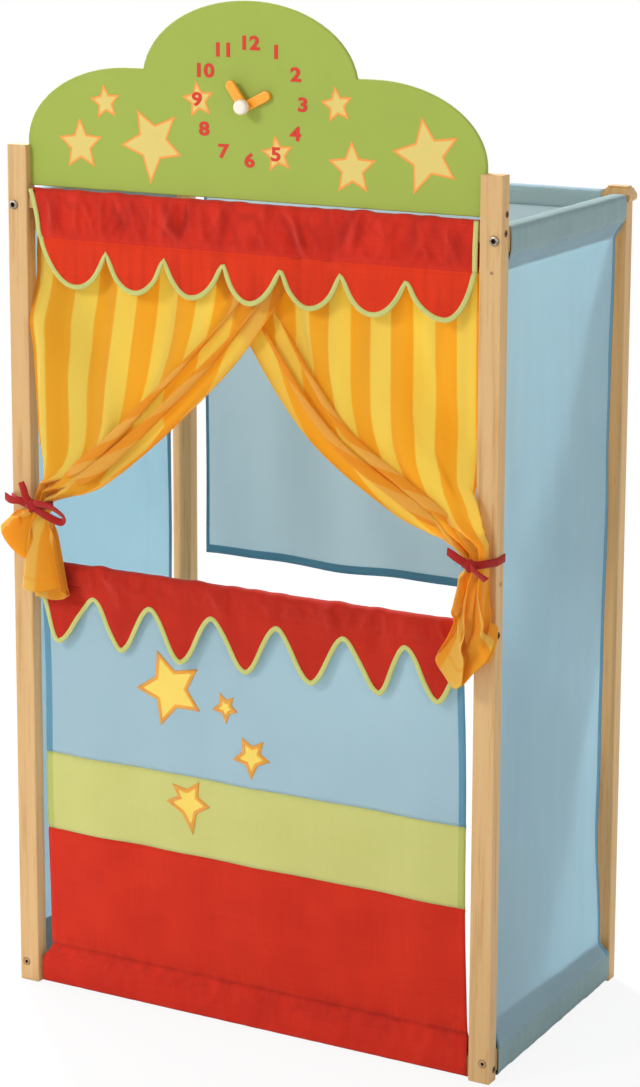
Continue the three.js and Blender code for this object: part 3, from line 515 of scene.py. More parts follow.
def clock_hand(node, angle):
    """A flat bar with round ends, drawn out from a disc round the pin."""
    low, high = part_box(node)
    half = nut_high.x * hand_share
    bpy.ops.mesh.primitive_circle_add(
        vertices=hand_round, radius=half, fill_type="NGON", rotation=(0, 0, math.pi / hand_round))
    piece = bpy.context.object
    bpy.ops.object.transform_apply(rotation=True)
    pick(piece, "VERT", lambda vertex: vertex.co.y > 0)
    bpy.ops.transform.translate(value=(0, hand_length - half, 0))
    bpy.ops.mesh.select_all(action="SELECT")
    push(high.y - low.y)
    bpy.ops.mesh.select_all(action="SELECT")
    bpy.ops.mesh.normals_make_consistent(inside=False)
    apply_bevel(piece, hand_edge, 5)
    piece.rotation_euler = (quarter, -angle, 0)
    piece.location = (0, high.y, clock_up)
    settle(piece, node + "_painted", "orange_paint", node, [node])


clock_hand("hour_hand", math.radians(-64))
clock_hand("minute_hand", math.radians(35.5))

shaft_radius = 0.003
pin_cap_thick = 0.0085
pin_cap_round = 0.0042


def add_shank(piece, inset, length):
    """Draws a round shank out of the underside, that far in from the head's edge."""
    pick(piece, "FACE", facing_down)
    bpy.ops.mesh.inset(thickness=inset)
    push(-length)
    bpy.ops.object.mode_set(mode="OBJECT")


def clock_pin():
    """A shaft with a round cap at its front end."""
    low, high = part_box("clock_pin")
    radius = (high.x - low.x) / 2
    bpy.ops.mesh.primitive_cylinder_add(vertices=64, radius=radius, depth=pin_cap_thick)
    piece = bpy.context.object
    pick(piece, "FACE", facing_up)
    bpy.ops.mesh.bevel(offset=pin_cap_round, segments=8, affect="EDGES")
    add_shank(piece, radius - shaft_radius, high.y - low.y - pin_cap_thick)
    piece.rotation_euler = face_front
    piece.location = (0, low.y + pin_cap_thick / 2, (low.z + high.z) / 2)
    settle(piece, "clock_pin_cap", "cream_plastic", "stand", ["clock_pin"])


clock_pin()


def hexagon_radius(angle, across):
    """From the middle to the outline of a hexagon, which is that wide from side to side."""
    step = math.radians(60)
    return across / 2 / math.cos(angle % step - step / 2)


def cross_radius(angle, reach):
    """From the middle to the outline of a cross with four soft arms."""
    return reach * (0.38 + 0.62 * abs(math.cos(2 * angle)) ** 3)


def sink_socket(piece, radius_at, depth, rim):
    """Presses a driver's socket into a head's top: an inset ring drawn to the socket's outline."""
    pick(piece, "FACE", facing_up)
    bpy.ops.mesh.inset(thickness=rim)
    shape = bmesh.from_edit_mesh(piece.data)
    for vertex in [v for v in shape.verts if v.select]:
        angle = math.atan2(vertex.co.y, vertex.co.x)
        radius = radius_at(angle)
        vertex.co.x = radius * math.cos(angle)
        vertex.co.y = radius * math.sin(angle)
    bmesh.update_edit_mesh(piece.data)
    push(-depth)
    shape = bmesh.from_edit_mesh(piece.data)
    floor_corners = {vertex for vertex in shape.verts if vertex.select}
    # The socket's floor and walls take the dark finish: painted shade.
    for face in shape.faces:
        face.material_index = 1 if floor_corners & set(face.verts) else 0
    bmesh.update_edit_mesh(piece.data)


head_round = 48


def model_head(radius, tall, bevel, segments, socket, shank):
    """A round head with a driver's socket in its top, and a shank under it."""
    bpy.ops.mesh.primitive_cylinder_add(vertices=head_round, radius=radius, depth=tall)
    piece = bpy.context.object
    pick(piece, "FACE", facing_up)
    bpy.ops.mesh.bevel(offset=bevel, segments=segments, affect="EDGES")
    sink_socket(piece, *socket)
    add_shank(piece, *shank)
    return piece


def settle_head(piece, node, finish):
    piece.data.materials.append(finishes[finish])
    piece.data.materials.append(finishes["socket_black"])
    settle(piece, node + "_head", None, "stand", [node])


bolt_head_tall = 0.003
bolt_head_round = 0.0018
bolt_rim = 0.0004
bolt_socket, sunk_socket = 0.0060, 0.0042
bolt_socket_depth = 0.0022
bolt_gap_share = 0.87


def bolt_head(node, turn, side):
    """A domed head with a hexagon socket, on the front or rear face of a post. The front's bottom
    bolts are sunk and bronze, with their outer edge painted dark as the shadow of the gap round them."""
    low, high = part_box(node)
    radius = (high.x - low.x) / 2
    sunk = "bottom" in node and side < 0
    across = sunk_socket if sunk else bolt_socket
    socket = (lambda angle: hexagon_radius(angle, across), bolt_socket_depth, bolt_rim)
    shank = (radius - shaft_radius, high.y - low.y - bolt_head_tall)
    piece = model_head(radius, bolt_head_tall, bolt_head_round, 6, socket, shank)
    face = low.y + bolt_head_tall / 2 if side < 0 else high.y - bolt_head_tall / 2
    piece.rotation_euler = turn
    piece.location = ((low.x + high.x) / 2, face, (low.z + high.z) / 2)
    if sunk:
        darken_rim(piece, radius * bolt_gap_share)
        settle_head(piece, node, "bronze")
    else:
        settle_head(piece, node, "steel")


def darken_rim(piece, reach):
    """A sunk head's outer edge takes the socket's dark finish: painted shadow of the gap round it."""
    for face in piece.data.polygons:
        if face.center.z > 0 and math.hypot(face.center.x, face.center.y) > reach:
            face.material_index = 1


screw_head_tall = 0.0012
screw_head_round = 0.0004
screw_rim = 0.0006
screw_socket_share = 0.62
screw_socket_depth = 0.0009
screw_neck_share = 0.55


def screw_head(node, turn, side):
    """A flat head with a cross socket, flush with the outer side of a front post."""
    low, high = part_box(node)
    radius = (high.z - low.z) / 2
    reach = radius * screw_socket_share
    socket = (lambda angle: cross_radius(angle, reach), screw_socket_depth, screw_rim)
    shank = (radius * screw_neck_share, high.x - low.x - screw_head_tall)
    piece = model_head(radius, screw_head_tall, screw_head_round, 3, socket, shank)
    face = high.x - screw_head_tall / 2 if side > 0 else low.x + screw_head_tall / 2
    piece.rotation_euler = turn
    piece.location = (face, (low.y + high.y) / 2, (low.z + high.z) / 2)
    settle_head(piece, node, "dark_steel")


for side_name in ("right", "left"):
    for level in ("top", "bottom"):
        bolt_head(f"front_{side_name}_{level}_bolt", face_front, -1)
        bolt_head(f"rear_{side_name}_{level}_bolt", face_back, 1)
for rail_name in ("valance", "sill", "foot", "headboard"):
    screw_head(f"right_{rail_name}_screw", face_right, 1)
    screw_head(f"left_{rail_name}_screw", face_left, -1)


# Headboard print: stars with an outline, and the clock's numerals

print_thick = 0.00025
print_outline = 0.0026
print_waist_share = 0.47

# Round stars: middle across, middle up, reach and turn
round_stars = [
    (-0.2115, 1.2143, 0.0240, 7),
    (-0.2499, 1.1577, 0.0352, 2),
    (-0.0715, 1.2235, 0.0246, 9),
    (0.0434, 1.1612, 0.0246, 9),
    (0.1276, 1.2262, 0.0240, 9),
    (0.1494, 1.1492, 0.0350, 2),
]
# Long stars: their five tips, across and up
long_stars = [
    [(-0.1637, 1.2074), (-0.1883, 1.1611), (-0.1434, 1.1123), (-0.0967, 1.1515), (-0.1062, 1.2012)],
    [(0.2446, 1.2175), (0.2039, 1.1746), (0.2340, 1.1225), (0.2906, 1.1443), (0.2934, 1.1951)],
]


def round_star_tips(across, up, reach, turn):
    """The five tips of an even star, which is turned by some degrees."""
    angles = [math.radians(90 + turn + 72 * tip) for tip in range(5)]
    return [(across + reach * math.cos(a), up + reach * math.sin(a)) for a in angles]


def middle_of(tips):
    return sum((Vector(tip) for tip in tips), Vector((0, 0))) / len(tips)


def star_corners(tips, waist_share):
    """Tips and waist points in turn: each waist point lies between two tips, nearer the middle."""
    middle = middle_of(tips)
    corners = []
    for tip, following in zip(tips, tips[1:] + tips[:1]):
        halfway = (Vector(tip) + Vector(following)) / 2
        away = (Vector(tip) - middle).length / 2 + (Vector(following) - middle).length / 2
        corners.append(Vector(tip))
        corners.append(middle + (halfway - middle).normalized() * away * waist_share)
    return corners


def printed_star(name, tips):
    """A thin star with an outline in its own ink, on the board's face."""
    corners = star_corners(tips, print_waist_share)
    bpy.ops.mesh.primitive_circle_add(vertices=len(corners), radius=1, fill_type="NGON")
    piece = bpy.context.object
    for vertex, corner in zip(piece.data.vertices, corners):
        vertex.co = (corner.x, corner.y, 0)
    pick(piece, "FACE", lambda face: True)
    bpy.ops.mesh.normals_make_consistent(inside=False)
    bpy.ops.mesh.inset(thickness=print_outline)
    bpy.ops.object.mode_set(mode="OBJECT")
    for face in piece.data.polygons:
        face.material_index = 0 if len(face.vertices) > 4 else 1
    pick(piece, "FACE", lambda face: True)
    push(print_thick)
    bpy.ops.mesh.select_all(action="SELECT")
    bpy.ops.mesh.normals_make_consistent(inside=False)
    bpy.ops.object.mode_set(mode="OBJECT")
    piece.rotation_euler = face_front
    piece.location.y = board_face
    piece.data.materials.append(finishes["star_print"])
    piece.data.materials.append(finishes["orange_print"])
    settle(piece, name, None, "stand")


all_stars = [round_star_tips(*star) for star in round_stars] + long_stars
for star_number, star_tips in enumerate(all_stars, 1):
    printed_star(f"headboard_star_{star_number}", star_tips)

dial_across = 0.0765
dial_up = 0.0731
numeral_tall = 0.0235
numeral_bold = 0.0007
numeral_stretch = 1.28
dial_middle = (0.003, 1.2236)


def numeral(number):
    """One of the clock's figures, at its place on the dial."""
    angle = math.radians(30 * number)
    words = bpy.data.curves.new(f"numeral_{number}", "FONT")
    words.body = str(number)
    words.size = numeral_tall
    words.align_x = words.align_y = "CENTER"
    words.offset = numeral_bold
    words.extrude = print_thick
    words.bevel_depth = print_thick / 2
    words.resolution_u = 6
    piece = add_object(words.name, words)
    piece.rotation_euler = face_front
    piece.scale = (numeral_stretch, 1, 1)
    across = dial_middle[0] + dial_across * math.sin(angle)
    up = dial_middle[1] + dial_up * math.cos(angle)
    piece.location = (across, board_face - print_thick, up)
    bpy.context.view_layer.objects.active = piece
    piece.select_set(True)
    bpy.ops.object.convert(target="MESH")
    settle(bpy.context.object, f"numeral_{number}", "red_print", "stand")


for hour in range(1, 13):
    numeral(hour)


# Cloth: a sheet is a grid of flat places, each put where the hung cloth has it

cloth_thick = 0.0007


def held(share):
    return min(max(share, 0.0), 1.0)


def smooth(share):
    share = held(share)
    return share * share * (3 - 2 * share)


def mix(first, second, share):
    return first + (second - first) * share


def ripple(across, down, size, seed):
    """Soft random unevenness, from -1 to 1, in patches about that size."""
    return noise.noise(Vector((across / size, down / size, seed)))


def wrinkle(across, up, size, seed):
    """Sharp little ridges between flatter patches, from 0 to 1."""
    near = 1 - abs(ripple(across, up, size, seed)) * 3
    return max(near, 0.0) ** 2 * (0.5 + 0.5 * ripple(across, up, size * 2.7, seed + 1))


def peak(away, width):
    """1 at no distance, and next to nothing beyond twice the width."""
    return math.exp(-((away / width) ** 2))


def crease(across, up, route, width):
    """How near a place is to a crease from one point to another: 1 on it, fading over its width."""
    start, end = Vector(route[0]), Vector(route[1])
    along = end - start
    share = held((Vector((across, up)) - start).dot(along) / along.length_squared)
    away = (Vector((across, up)) - start - along * share).length
    return math.sin(math.pi * (0.1 + 0.8 * share)) * peak(away, width)


def bridge(shape, flat_map, first, second):
    """Smooth faces between two rows of vertices, each given with its place on the flat map."""
    faces = []
    for corners in zip(first, second, second[1:], first[1:]):
        face = shape.faces.new([vertex for vertex, _ in corners])
        face.smooth = True
        for loop, (_, flat) in zip(face.loops, corners):
            loop[flat_map].uv = flat
        faces.append(face)
    return faces


def new_shape():
    """An empty shape to work on, and its flat map."""
    shape = bmesh.new()
    return shape, shape.loops.layers.uv.new("flat")


def finished(name, shape, finish_names):
    """The worked shape as an object with its finishes."""
    mesh = bpy.data.meshes.new(name)
    shape.to_mesh(mesh)
    shape.free()
    for finish in finish_names:
        mesh.materials.append(finishes[finish])
    return add_object(name, mesh)


def cloth_piece(name, flat_rows, place, finish_names, zone=None, thick=cloth_thick, fold=None):
    """A sheet with real thickness, from rows of flat places (across, down). Of each flat place,
    place says where it hangs, zone which of the finishes it has, and the shading function how dark it
    is:
    painted shade in its creases, or a darker hem. Place and the shading function are also given its
    shares of the way across and down."""
    shape, flat_map = new_shape()
    # Per-vertex painted shade for creases and folds, and darker hems, which the finishes read.
    darkness = shape.verts.layers.float.new("fold") if fold else None
    grid = []
    for j, row in enumerate(flat_rows):
        line = []
        for i, flat in enumerate(row):
            u, v = i / (len(row) - 1), j / (len(flat_rows) - 1)
            vertex = shape.verts.new(place(u, v, *flat))
            if fold:
                vertex[darkness] = fold(u, v, *flat)
            line.append((vertex, flat))
        grid.append(line)
    for first, second in zip(grid, grid[1:]):
        faces = bridge(shape, flat_map, first, second)
        for face, *corners in zip(faces, first, second, second[1:], first[1:]):
            if zone:
                flats = [flat for _, flat in corners]
                face.material_index = zone(*[sum(axis) / len(flats) for axis in zip(*flats)])
    piece = finished(name, shape, finish_names)
    thicken(piece, thick)
    return piece


def thicken(piece, thick):
    """Gives a sheet its thickness, half to each side."""
    bpy.ops.object.select_all(action="DESELECT")
    bpy.context.view_layer.objects.active = piece
    piece.select_set(True)
    wall = piece.modifiers.new("thickness", "SOLIDIFY")
    wall.thickness = thick
    wall.offset = 0
    bpy.ops.object.modifier_apply(modifier=wall.name)
    piece.select_set(False)


def even_rows(width, length, steps):
    """Flat places of a plain sheet, about those steps apart across and down."""
    columns, rows = round(width / steps[0]), round(length / steps[1])
    return [[(width * i / columns, length * j / rows) for i in range(columns + 1)]
            for j in range(rows + 1)]


def hang(piece, body, nodes, area=None):
    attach(piece, body)
    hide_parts(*nodes)


# Routes: lists of points, walked by length

fold_round = 0.004
corner_steps = 5


def walk(points, length):
    """The place after that length along straight stretches between points, or straight on."""
    for start, end in zip(points, points[1:]):
        stretch = (end - start).length
        if length <= stretch:
            return start.lerp(end, length / stretch)
        length -= stretch
    return points[-1] + (points[-1] - points[-2]).normalized() * length


def rounded(*corners):
    """A route through corners in a cross-section, with each inner corner rounded."""
    points = [Vector(corner) for corner in corners]
    route = [points[0]]
    for before, corner, after in zip(points, points[1:], points[2:]):
        cut = min(fold_round, (corner - before).length / 2, (after - corner).length / 2)
        start = corner + (before - corner).normalized() * cut
        end = corner + (after - corner).normalized() * cut
        for step in range(corner_steps + 1):
            share = step / corner_steps
            route.append(start.lerp(corner, share).lerp(corner.lerp(end, share), share))
    return route + [points[-1]]


def lengths_along(points):
    """The length from the first point to each point."""
    lengths = [0.0]
    for start, end in zip(points, points[1:]):
        lengths.append(lengths[-1] + (end - start).length)
    return lengths


def route_length(points):
    return lengths_along(points)[-1]


def held_index(index, points):
    return min(max(index, 0), len(points) - 1)


def direction(points, k, reach=1):
    """Which way a route runs at its point k, between the points that far before and after."""
    before, after = points[held_index(k - reach, points)], points[held_index(k + reach, points)]
    return (after - before).normalized()


def quarter_turned(along):
    return Vector((-along.y, along.x))


# Skirts: a pocket over a front rail, and a sheet below it with a scalloped, bound edge

tape_wide = 0.0068
tape_thick = 0.0030
tape_step = 0.002
tape_side_steps = 20
tape_round = 12
grid_step = 0.003
fall_rows = 22
rail_slack = 0.0012
crease_gain = 2.2
edge_samples = 100


class Skirt:
    """Measures of one skirt: its rail, its seam, its creases and the turns of its lower edge."""

    def __init__(self, rail, finish, pocket_finish, seam, seam_dent, creased, creases, ends, turns,
                 curve, drawn_in, seed):
        self.rail = rail
        self.rail_low, self.rail_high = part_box(rail)
        self.front = self.rail_low.y - rail_slack
        self.top = self.rail_high.z + rail_slack
        self.finish = finish
        self.pocket_finish = pocket_finish
        self.seam = seam
        self.seam_dent = seam_dent
        # How strongly the creases are painted with shade, from 0 to 1.
        self.creased = creased
        self.creases = creases
        self.ends = ends
        self.turns = turns
        self.lowest = min(up for _, up in turns)
        self.curve = curve
        self.drawn_in = drawn_in
        self.seed = seed

    def edge(self, across):
        """The height of the lower edge at a place across."""
        for (x0, z0), (x1, z1) in zip(self.turns, self.turns[1:]):
            if across <= x1:
                share = held((across - x0) / (x1 - x0))
                if z0 < z1:
                    return mix(z0, z1, self.curve(share))
                return mix(z1, z0, self.curve(1 - share))
        return self.turns[-1][1]

    def side(self, up, side):
        """How far the side's edge is drawn in at a height."""
        at_top, at_seam = self.drawn_in[side]
        share = held((self.rail_high.z - up) / (self.rail_high.z - self.seam))
        return mix(at_top, at_seam, share)

    def depth(self, across, up):
        """How far the cloth stands in front of its hanging plane."""
        below = held((self.seam - up) / (self.seam - self.lowest))
        above = held((up - self.seam) / (self.rail_high.z - self.seam))
        stand = 0.0012 + 0.0022 * ripple(across, up, 0.04, self.seed + 3)
        stand += 0.002 * below + 0.0028 * smooth(below) * math.sin(across * 34 + self.seed)
        stand += 0.0060 * smooth(above * 4) * wrinkle(across, up * 0.4, 0.026, self.seed)
        stand -= self.seam_dent * peak(up - self.seam, 0.0035)
        for route, width, depth in self.creases:
            stand += crease_gain * depth * crease(across, up, route, width)
        return max(stand, -0.6 * max(self.rail_low.z - up - 0.002, 0))

    def darkness(self, across, up):
        """How dark the creases look, from 0 to 1: the side of a ridge turned from the light."""
        above = smooth((up - self.seam + 0.012) / 0.03)
        dark = wrinkle(across - 0.35 * up, up * 0.45, 0.018, self.seed + 11)
        dark += 0.7 * wrinkle(across + 0.5 * up, up * 0.5, 0.030, self.seed + 13)
        for route, width, _ in self.creases:
            dark += 0.8 * crease(across - 0.003, up + 0.002, route, width * 0.7)
        return held(self.creased * above * dark)


def scallop_curve(share):
    """How high a scalloped edge is, from 0 to 1, that share of the way from a low point up."""
    return 1 - (1 - 0.97 * share ** 2) ** 0.68


def lobe_curve(share):
    """The same for an edge with pointed lobes."""
    rise, rest = share ** 1.75, (1 - share) ** 1.3
    return rise / (rise + rest)


# Creases are pressed into the pockets: from and to, across and up, then width and depth.
# The turns of an edge are its high and low points in turn, across and up.
top_skirt = Skirt(
    rail="valance_rail",
    finish="red_skirt",
    pocket_finish="red_pocket",
    seam=1.034,
    seam_dent=0.0014,
    creased=0.78,
    creases=[
        (((-0.290, 1.085), (-0.300, 1.040)), 0.008, 0.0022),
        (((-0.205, 1.092), (-0.190, 1.050)), 0.009, -0.0020),
        (((-0.120, 1.090), (-0.105, 1.045)), 0.010, 0.0026),
        (((-0.085, 1.090), (-0.110, 1.038)), 0.007, -0.0018),
        (((-0.030, 1.092), (-0.045, 1.050)), 0.008, 0.0020),
        (((0.045, 1.094), (0.075, 1.030)), 0.009, -0.0030),
        (((0.070, 1.090), (0.085, 1.040)), 0.006, 0.0025),
        (((0.150, 1.094), (0.110, 1.030)), 0.009, -0.0030),
        (((0.165, 1.092), (0.150, 1.045)), 0.007, 0.0022),
        (((0.240, 1.090), (0.225, 1.050)), 0.010, -0.0018),
        (((0.290, 1.085), (0.300, 1.045)), 0.009, 0.0020),
    ],
    ends=(-0.3255, 0.3265),
    turns=[(-0.3255, 1.048), (-0.2665, 0.969), (-0.2175, 1.021), (-0.1702, 0.969), (-0.1277, 1.020),
           (-0.0878, 0.969), (-0.0382, 1.021), (0.0030, 0.969), (0.0474, 1.020), (0.0886, 0.969),
           (0.1349, 1.020), (0.1823, 0.969), (0.2292, 1.019), (0.2816, 0.970), (0.3265, 1.045)],
    curve=scallop_curve,
    drawn_in=((0.0, 0.012), (0.0, 0.001)),
    seed=1.0,
)
sill_skirt = Skirt(
    rail="sill_rail",
    finish="red_sill",
    pocket_finish="red_sill",
    seam=0.568,
    seam_dent=0.0004,
    creased=0.4,
    creases=[
        (((-0.285, 0.590), (-0.235, 0.530)), 0.014, -0.0030),
        (((-0.200, 0.595), (-0.185, 0.545)), 0.010, 0.0018),
        (((-0.130, 0.594), (-0.140, 0.560)), 0.009, -0.0016),
        (((-0.040, 0.594), (-0.020, 0.540)), 0.012, 0.0018),
        (((0.060, 0.595), (0.050, 0.555)), 0.009, -0.0018),
        (((0.120, 0.594), (0.135, 0.560)), 0.008, 0.0018),
        (((0.200, 0.594), (0.190, 0.540)), 0.010, -0.0020),
    ],
    ends=(-0.3255, 0.3255),
    turns=[(-0.3255, 0.570), (-0.2870, 0.491), (-0.2338, 0.553), (-0.1910, 0.489), (-0.1446, 0.552),
           (-0.0946, 0.488), (-0.0490, 0.552), (0.0013, 0.487), (0.0484, 0.552), (0.1010, 0.488),
           (0.1462, 0.552), (0.1978, 0.488), (0.2346, 0.553), (0.2834, 0.490), (0.3255, 0.566)],
    curve=lobe_curve,
    drawn_in=((0.0, 0.002), (0.0, 0.001)),
    seed=5.0,
)


def skirt_rows(skirt, pocket):
    """Flat places of a skirt: even rows in the pocket, then rows that end at the lower edge."""
    left, right = skirt.ends
    width = right - left
    columns = round(width / grid_step)
    pocket_rows = round(pocket / grid_step)
    rows = []
    for j in range(pocket_rows + fall_rows + 1):
        in_pocket = pocket * min(j / pocket_rows, 1)
        below = max(j - pocket_rows, 0) / fall_rows
        row = []
        for i in range(columns + 1):
            across = width * i / columns
            hanging = skirt.seam - skirt.edge(left + across) - tape_wide * 0.4
            row.append((across, in_pocket + hanging * below))
        rows.append(row)
    return rows


def add_skirt(name, skirt, node, binding_node):
    """The pocket goes up behind the rail and down in front, and the sheet goes on from there."""
    (left, right), seam, top = skirt.ends, skirt.seam, skirt.top
    back = skirt.rail_high.y + rail_slack
    section = rounded(
        (skirt.front + cloth_thick * 2, seam),
        (back, skirt.rail_low.z),
        (back, top),
        (skirt.front, top),
        (skirt.front, seam),
    )
    pocket = route_length(section)
    front_start = pocket - (top - seam)
    width = right - left
    rows = skirt_rows(skirt, pocket)

    def place(u, v, flat_across, flat_down):
        across = left + flat_across
        y, z = walk(section, flat_down)
        drawn = mix(skirt.side(z, 0), -skirt.side(z, 1), flat_across / width)
        in_front = smooth((flat_down - front_start) / 0.01)
        at_top = held(1 - abs(flat_down - front_start) / 0.03)
        lift = 0.0045 * max(ripple(across, 0, 0.030, skirt.seed) + 0.08, 0) * at_top
        under_rail = smooth((z - seam) / 0.02) * smooth((skirt.rail_low.z - z) / 0.03 + 0.6)
        stand = (skirt.depth(across, z) - 0.0016 * under_rail) * in_front
        return Vector((across + drawn, y - stand, z + lift))

    def zone(flat_across, flat_down):
        return 1 if flat_down < pocket else 0

    # Painted shade in the skirt's creases, from its darkness.
    def fold(u, v, flat_across, flat_down):
        """A row's creases are those at the height of its left end."""
        _, row_down = rows[round(v * (len(rows) - 1))][0]
        return skirt.darkness(mix(left, right, u), top - (row_down - front_start))

    piece = cloth_piece(name, rows, place, [skirt.finish, skirt.pocket_finish], zone, fold=fold)
    falls = [seam - skirt.edge(left + width * (k + 0.5) / edge_samples) for k in range(edge_samples)]
    area = width * (pocket + sum(falls) / edge_samples)
    binding = add_binding(name + "_tape", skirt)
    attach(binding, "stand")
    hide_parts(binding_node)
    hang(piece, "stand", [node],
         area)


def squared(share, power):
    """A share from -1 to 1 drawn outwards, so that a round section gets fuller corners."""
    return math.copysign(abs(share) ** power, share)


def tape_section():
    """The folded tape's outline: how far in from its outer edge, and how deep, as shares."""
    angles = [math.tau * step / tape_round for step in range(tape_round)]
    return [(0.5 - 0.5 * squared(math.cos(a), 0.6), 0.5 * squared(math.sin(a), 0.8)) for a in angles]


def tape_routes(skirt):
    """The tape's lengths: down the left side, along the lower edge, and up the right side."""
    left, right = skirt.ends
    low_left, low_right = left + skirt.side(skirt.seam, 0), right - skirt.side(skirt.seam, 1)
    steps = round((right - left) / tape_step)
    lower = []
    for share in [k / steps for k in range(steps + 1)]:
        up = min(skirt.edge(mix(left, right, share)), skirt.seam)
        lower.append(Vector((mix(low_left, low_right, share), up)))
    heights = [mix(skirt.top, skirt.seam + 0.0005, k / tape_side_steps)
               for k in range(tape_side_steps + 1)]
    down_left = [Vector((left + skirt.side(up, 0), up)) for up in heights]
    up_right = [Vector((right - skirt.side(up, 1), up)) for up in reversed(heights)]
    return down_left, lower, up_right


def add_binding(name, skirt):
    """Tape folded over the side and lower edges, sewn on in lengths that meet at the seam."""
    shape, flat_map = new_shape()
    section = tape_section()
    for route in tape_routes(skirt):
        rings = []
        for k, (spot, run) in enumerate(zip(route, lengths_along(route))):
            inward = quarter_turned(direction(route, k, 3))
            y = skirt.front - skirt.depth(*spot)
            thick = tape_thick * (1 + 0.10 * ripple(run, 0, 0.02, skirt.seed + 7))
            ring = []
            for across, deep in section:
                x, z = spot + inward * tape_wide * across
                ring.append((shape.verts.new((x, y + deep * thick, z)), (run, across * tape_wide)))
            rings.append(ring + ring[:1])
        for first, second in zip(rings, rings[1:]):
            bridge(shape, flat_map, first, second)
        for ring in (rings[0], rings[-1]):
            shape.faces.new([vertex for vertex, _ in ring[:-1]])
    bmesh.ops.recalc_face_normals(shape, faces=shape.faces)
    return finished(name, shape, ["green_tape"])


add_skirt("valance_cloth", top_skirt, "top_valance", "top_valance_binding")
add_skirt("sill_cloth", sill_skirt, "sill_valance", "sill_valance_binding")


# Lower front panel: three bands sewn together, with side hems and a sleeve round the foot rail

panel_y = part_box("front_panel_blue")[0].y + cloth_thick
panel_hem = 0.010
panel_bands = {"blue": (0.332, 0.571), "green": (0.224, 0.332), "red": (0.0, 0.224)}
panel_ends = (-0.3150, 0.3180)
panel_taper = (-0.012, -0.020)
panel_width = panel_ends[1] - panel_ends[0]
panel_grid = (0.005, 0.006)
red_grid = (0.005, 0.0025)
band_seam_half = 0.003
band_seam_dent = 0.0011
sleeve_ends = (-0.3265, 0.3243)
sleeve_seam = 0.058
sleeve_full = 0.030
foot_low, foot_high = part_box("foot_rail")


def panel_side(side, up):
    """The panel's side edge. It narrows a little upwards and spreads to the sleeve below its seam."""
    spread = smooth((sleeve_seam - up) / (sleeve_seam - sleeve_full))
    end = panel_ends[side] + panel_taper[side] * (up - 0.3) + 0.0012 * math.sin(up * 17 + side)
    return mix(end, sleeve_ends[side], spread)


def panel_swell(across, up):
    """How far the hanging panel stands forward."""
    slack = math.sin(math.pi * held(up / panel_bands["blue"][1]))
    folds = 0.0016 * math.sin(across * 23 + 1.2) + 0.0012 * math.sin(across * 51 + up * 4)
    return slack * folds + 0.0012 * ripple(across, up * 0.4, 0.06, 11)


def beside_hem(across):
    """Whether a flat place is in the hem at either side."""
    return min(across, panel_width - across) < panel_hem


def add_panel_band(colour, finish, hem_finish):
    """A band of the panel, a little proud of its seams."""
    low, high = panel_bands[colour]

    def place(u, v, across, down):
        up = high - down
        x = mix(panel_side(0, up), panel_side(1, up), u)
        dent = band_seam_dent * peak(min(abs(up - low), abs(up - high)), band_seam_half)
        return Vector((x, panel_y - panel_swell(x, up) + dent, up))

    def zone(across, down):
        return 1 if beside_hem(across) else 0

    rows = even_rows(panel_width, high - low, panel_grid)
    piece = cloth_piece(f"panel_cloth_{colour}", rows, place, [finish, hem_finish], zone)
    hang(piece, "stand", [f"front_panel_{colour}"])


def add_panel_red():
    """The red band goes on round the foot rail and comes back up to its own seam."""
    high = panel_bands["red"][1]
    front, back = foot_low.y - rail_slack, foot_high.y + rail_slack
    low = foot_low.z - 0.0008
    section = rounded(
        (panel_y, high),
        (panel_y, sleeve_seam),
        (front, foot_high.z),
        (front, low),
        (back, low),
        (back, foot_high.z),
        (panel_y + 2 * cloth_thick, sleeve_seam),
    )
    length = route_length(section)
    front_length = high - low

    def place(u, v, across, down):
        y, z = walk(section, down)
        x = mix(panel_side(0, z), panel_side(1, z), u)
        free = smooth((z - sleeve_seam) / 0.03)
        pucker = 0.001 * ripple(x, z * 0.5, 0.02, 17) * (1 - free)
        dent = band_seam_dent * peak(high - z, band_seam_half)
        if down < front_length:
            dent += 0.0016 * peak(z - sleeve_seam, 0.0025)
            pucker += 0.0036 * wrinkle(x - 0.4 * z, z * 0.6, 0.026, 19) * smooth((0.080 - z) / 0.02)
        return Vector((x, y - panel_swell(x, z) * free - pucker + dent, z))

    def zone(across, down):
        return 1 if beside_hem(across) or down > high - sleeve_seam else 0

    def fold(u, v, across, down):
        """Painted shade along the sleeve's seam, and in the small creases that leave it."""
        z = walk(section, down).y
        if down > front_length or z > sleeve_seam + 0.05:
            return 0
        x = mix(-foot_high.x, foot_high.x, u)
        seam = 0.75 * peak(z - sleeve_seam, 0.0028) * (0.7 + 0.6 * ripple(x, 0, 0.03, 29))
        ridges = wrinkle(x - 0.5 * z, z * 0.6, 0.022, 31) + wrinkle(x + 0.3 * z, z * 0.5, 0.030, 33)
        return held(seam + 0.6 * peak(z - sleeve_seam + 0.006, 0.016) * ridges)

    rows = even_rows(panel_width, length, red_grid)
    piece = cloth_piece(
        "panel_cloth_red", rows, place, ["red_cotton", "red_pocket"], zone, fold=fold)
    hang(piece, "stand", ["front_panel_red"])


add_panel_band("blue", "blue_cotton", "blue_hem")
add_panel_band("green", "lime_cotton", "lime_hem")
add_panel_red()


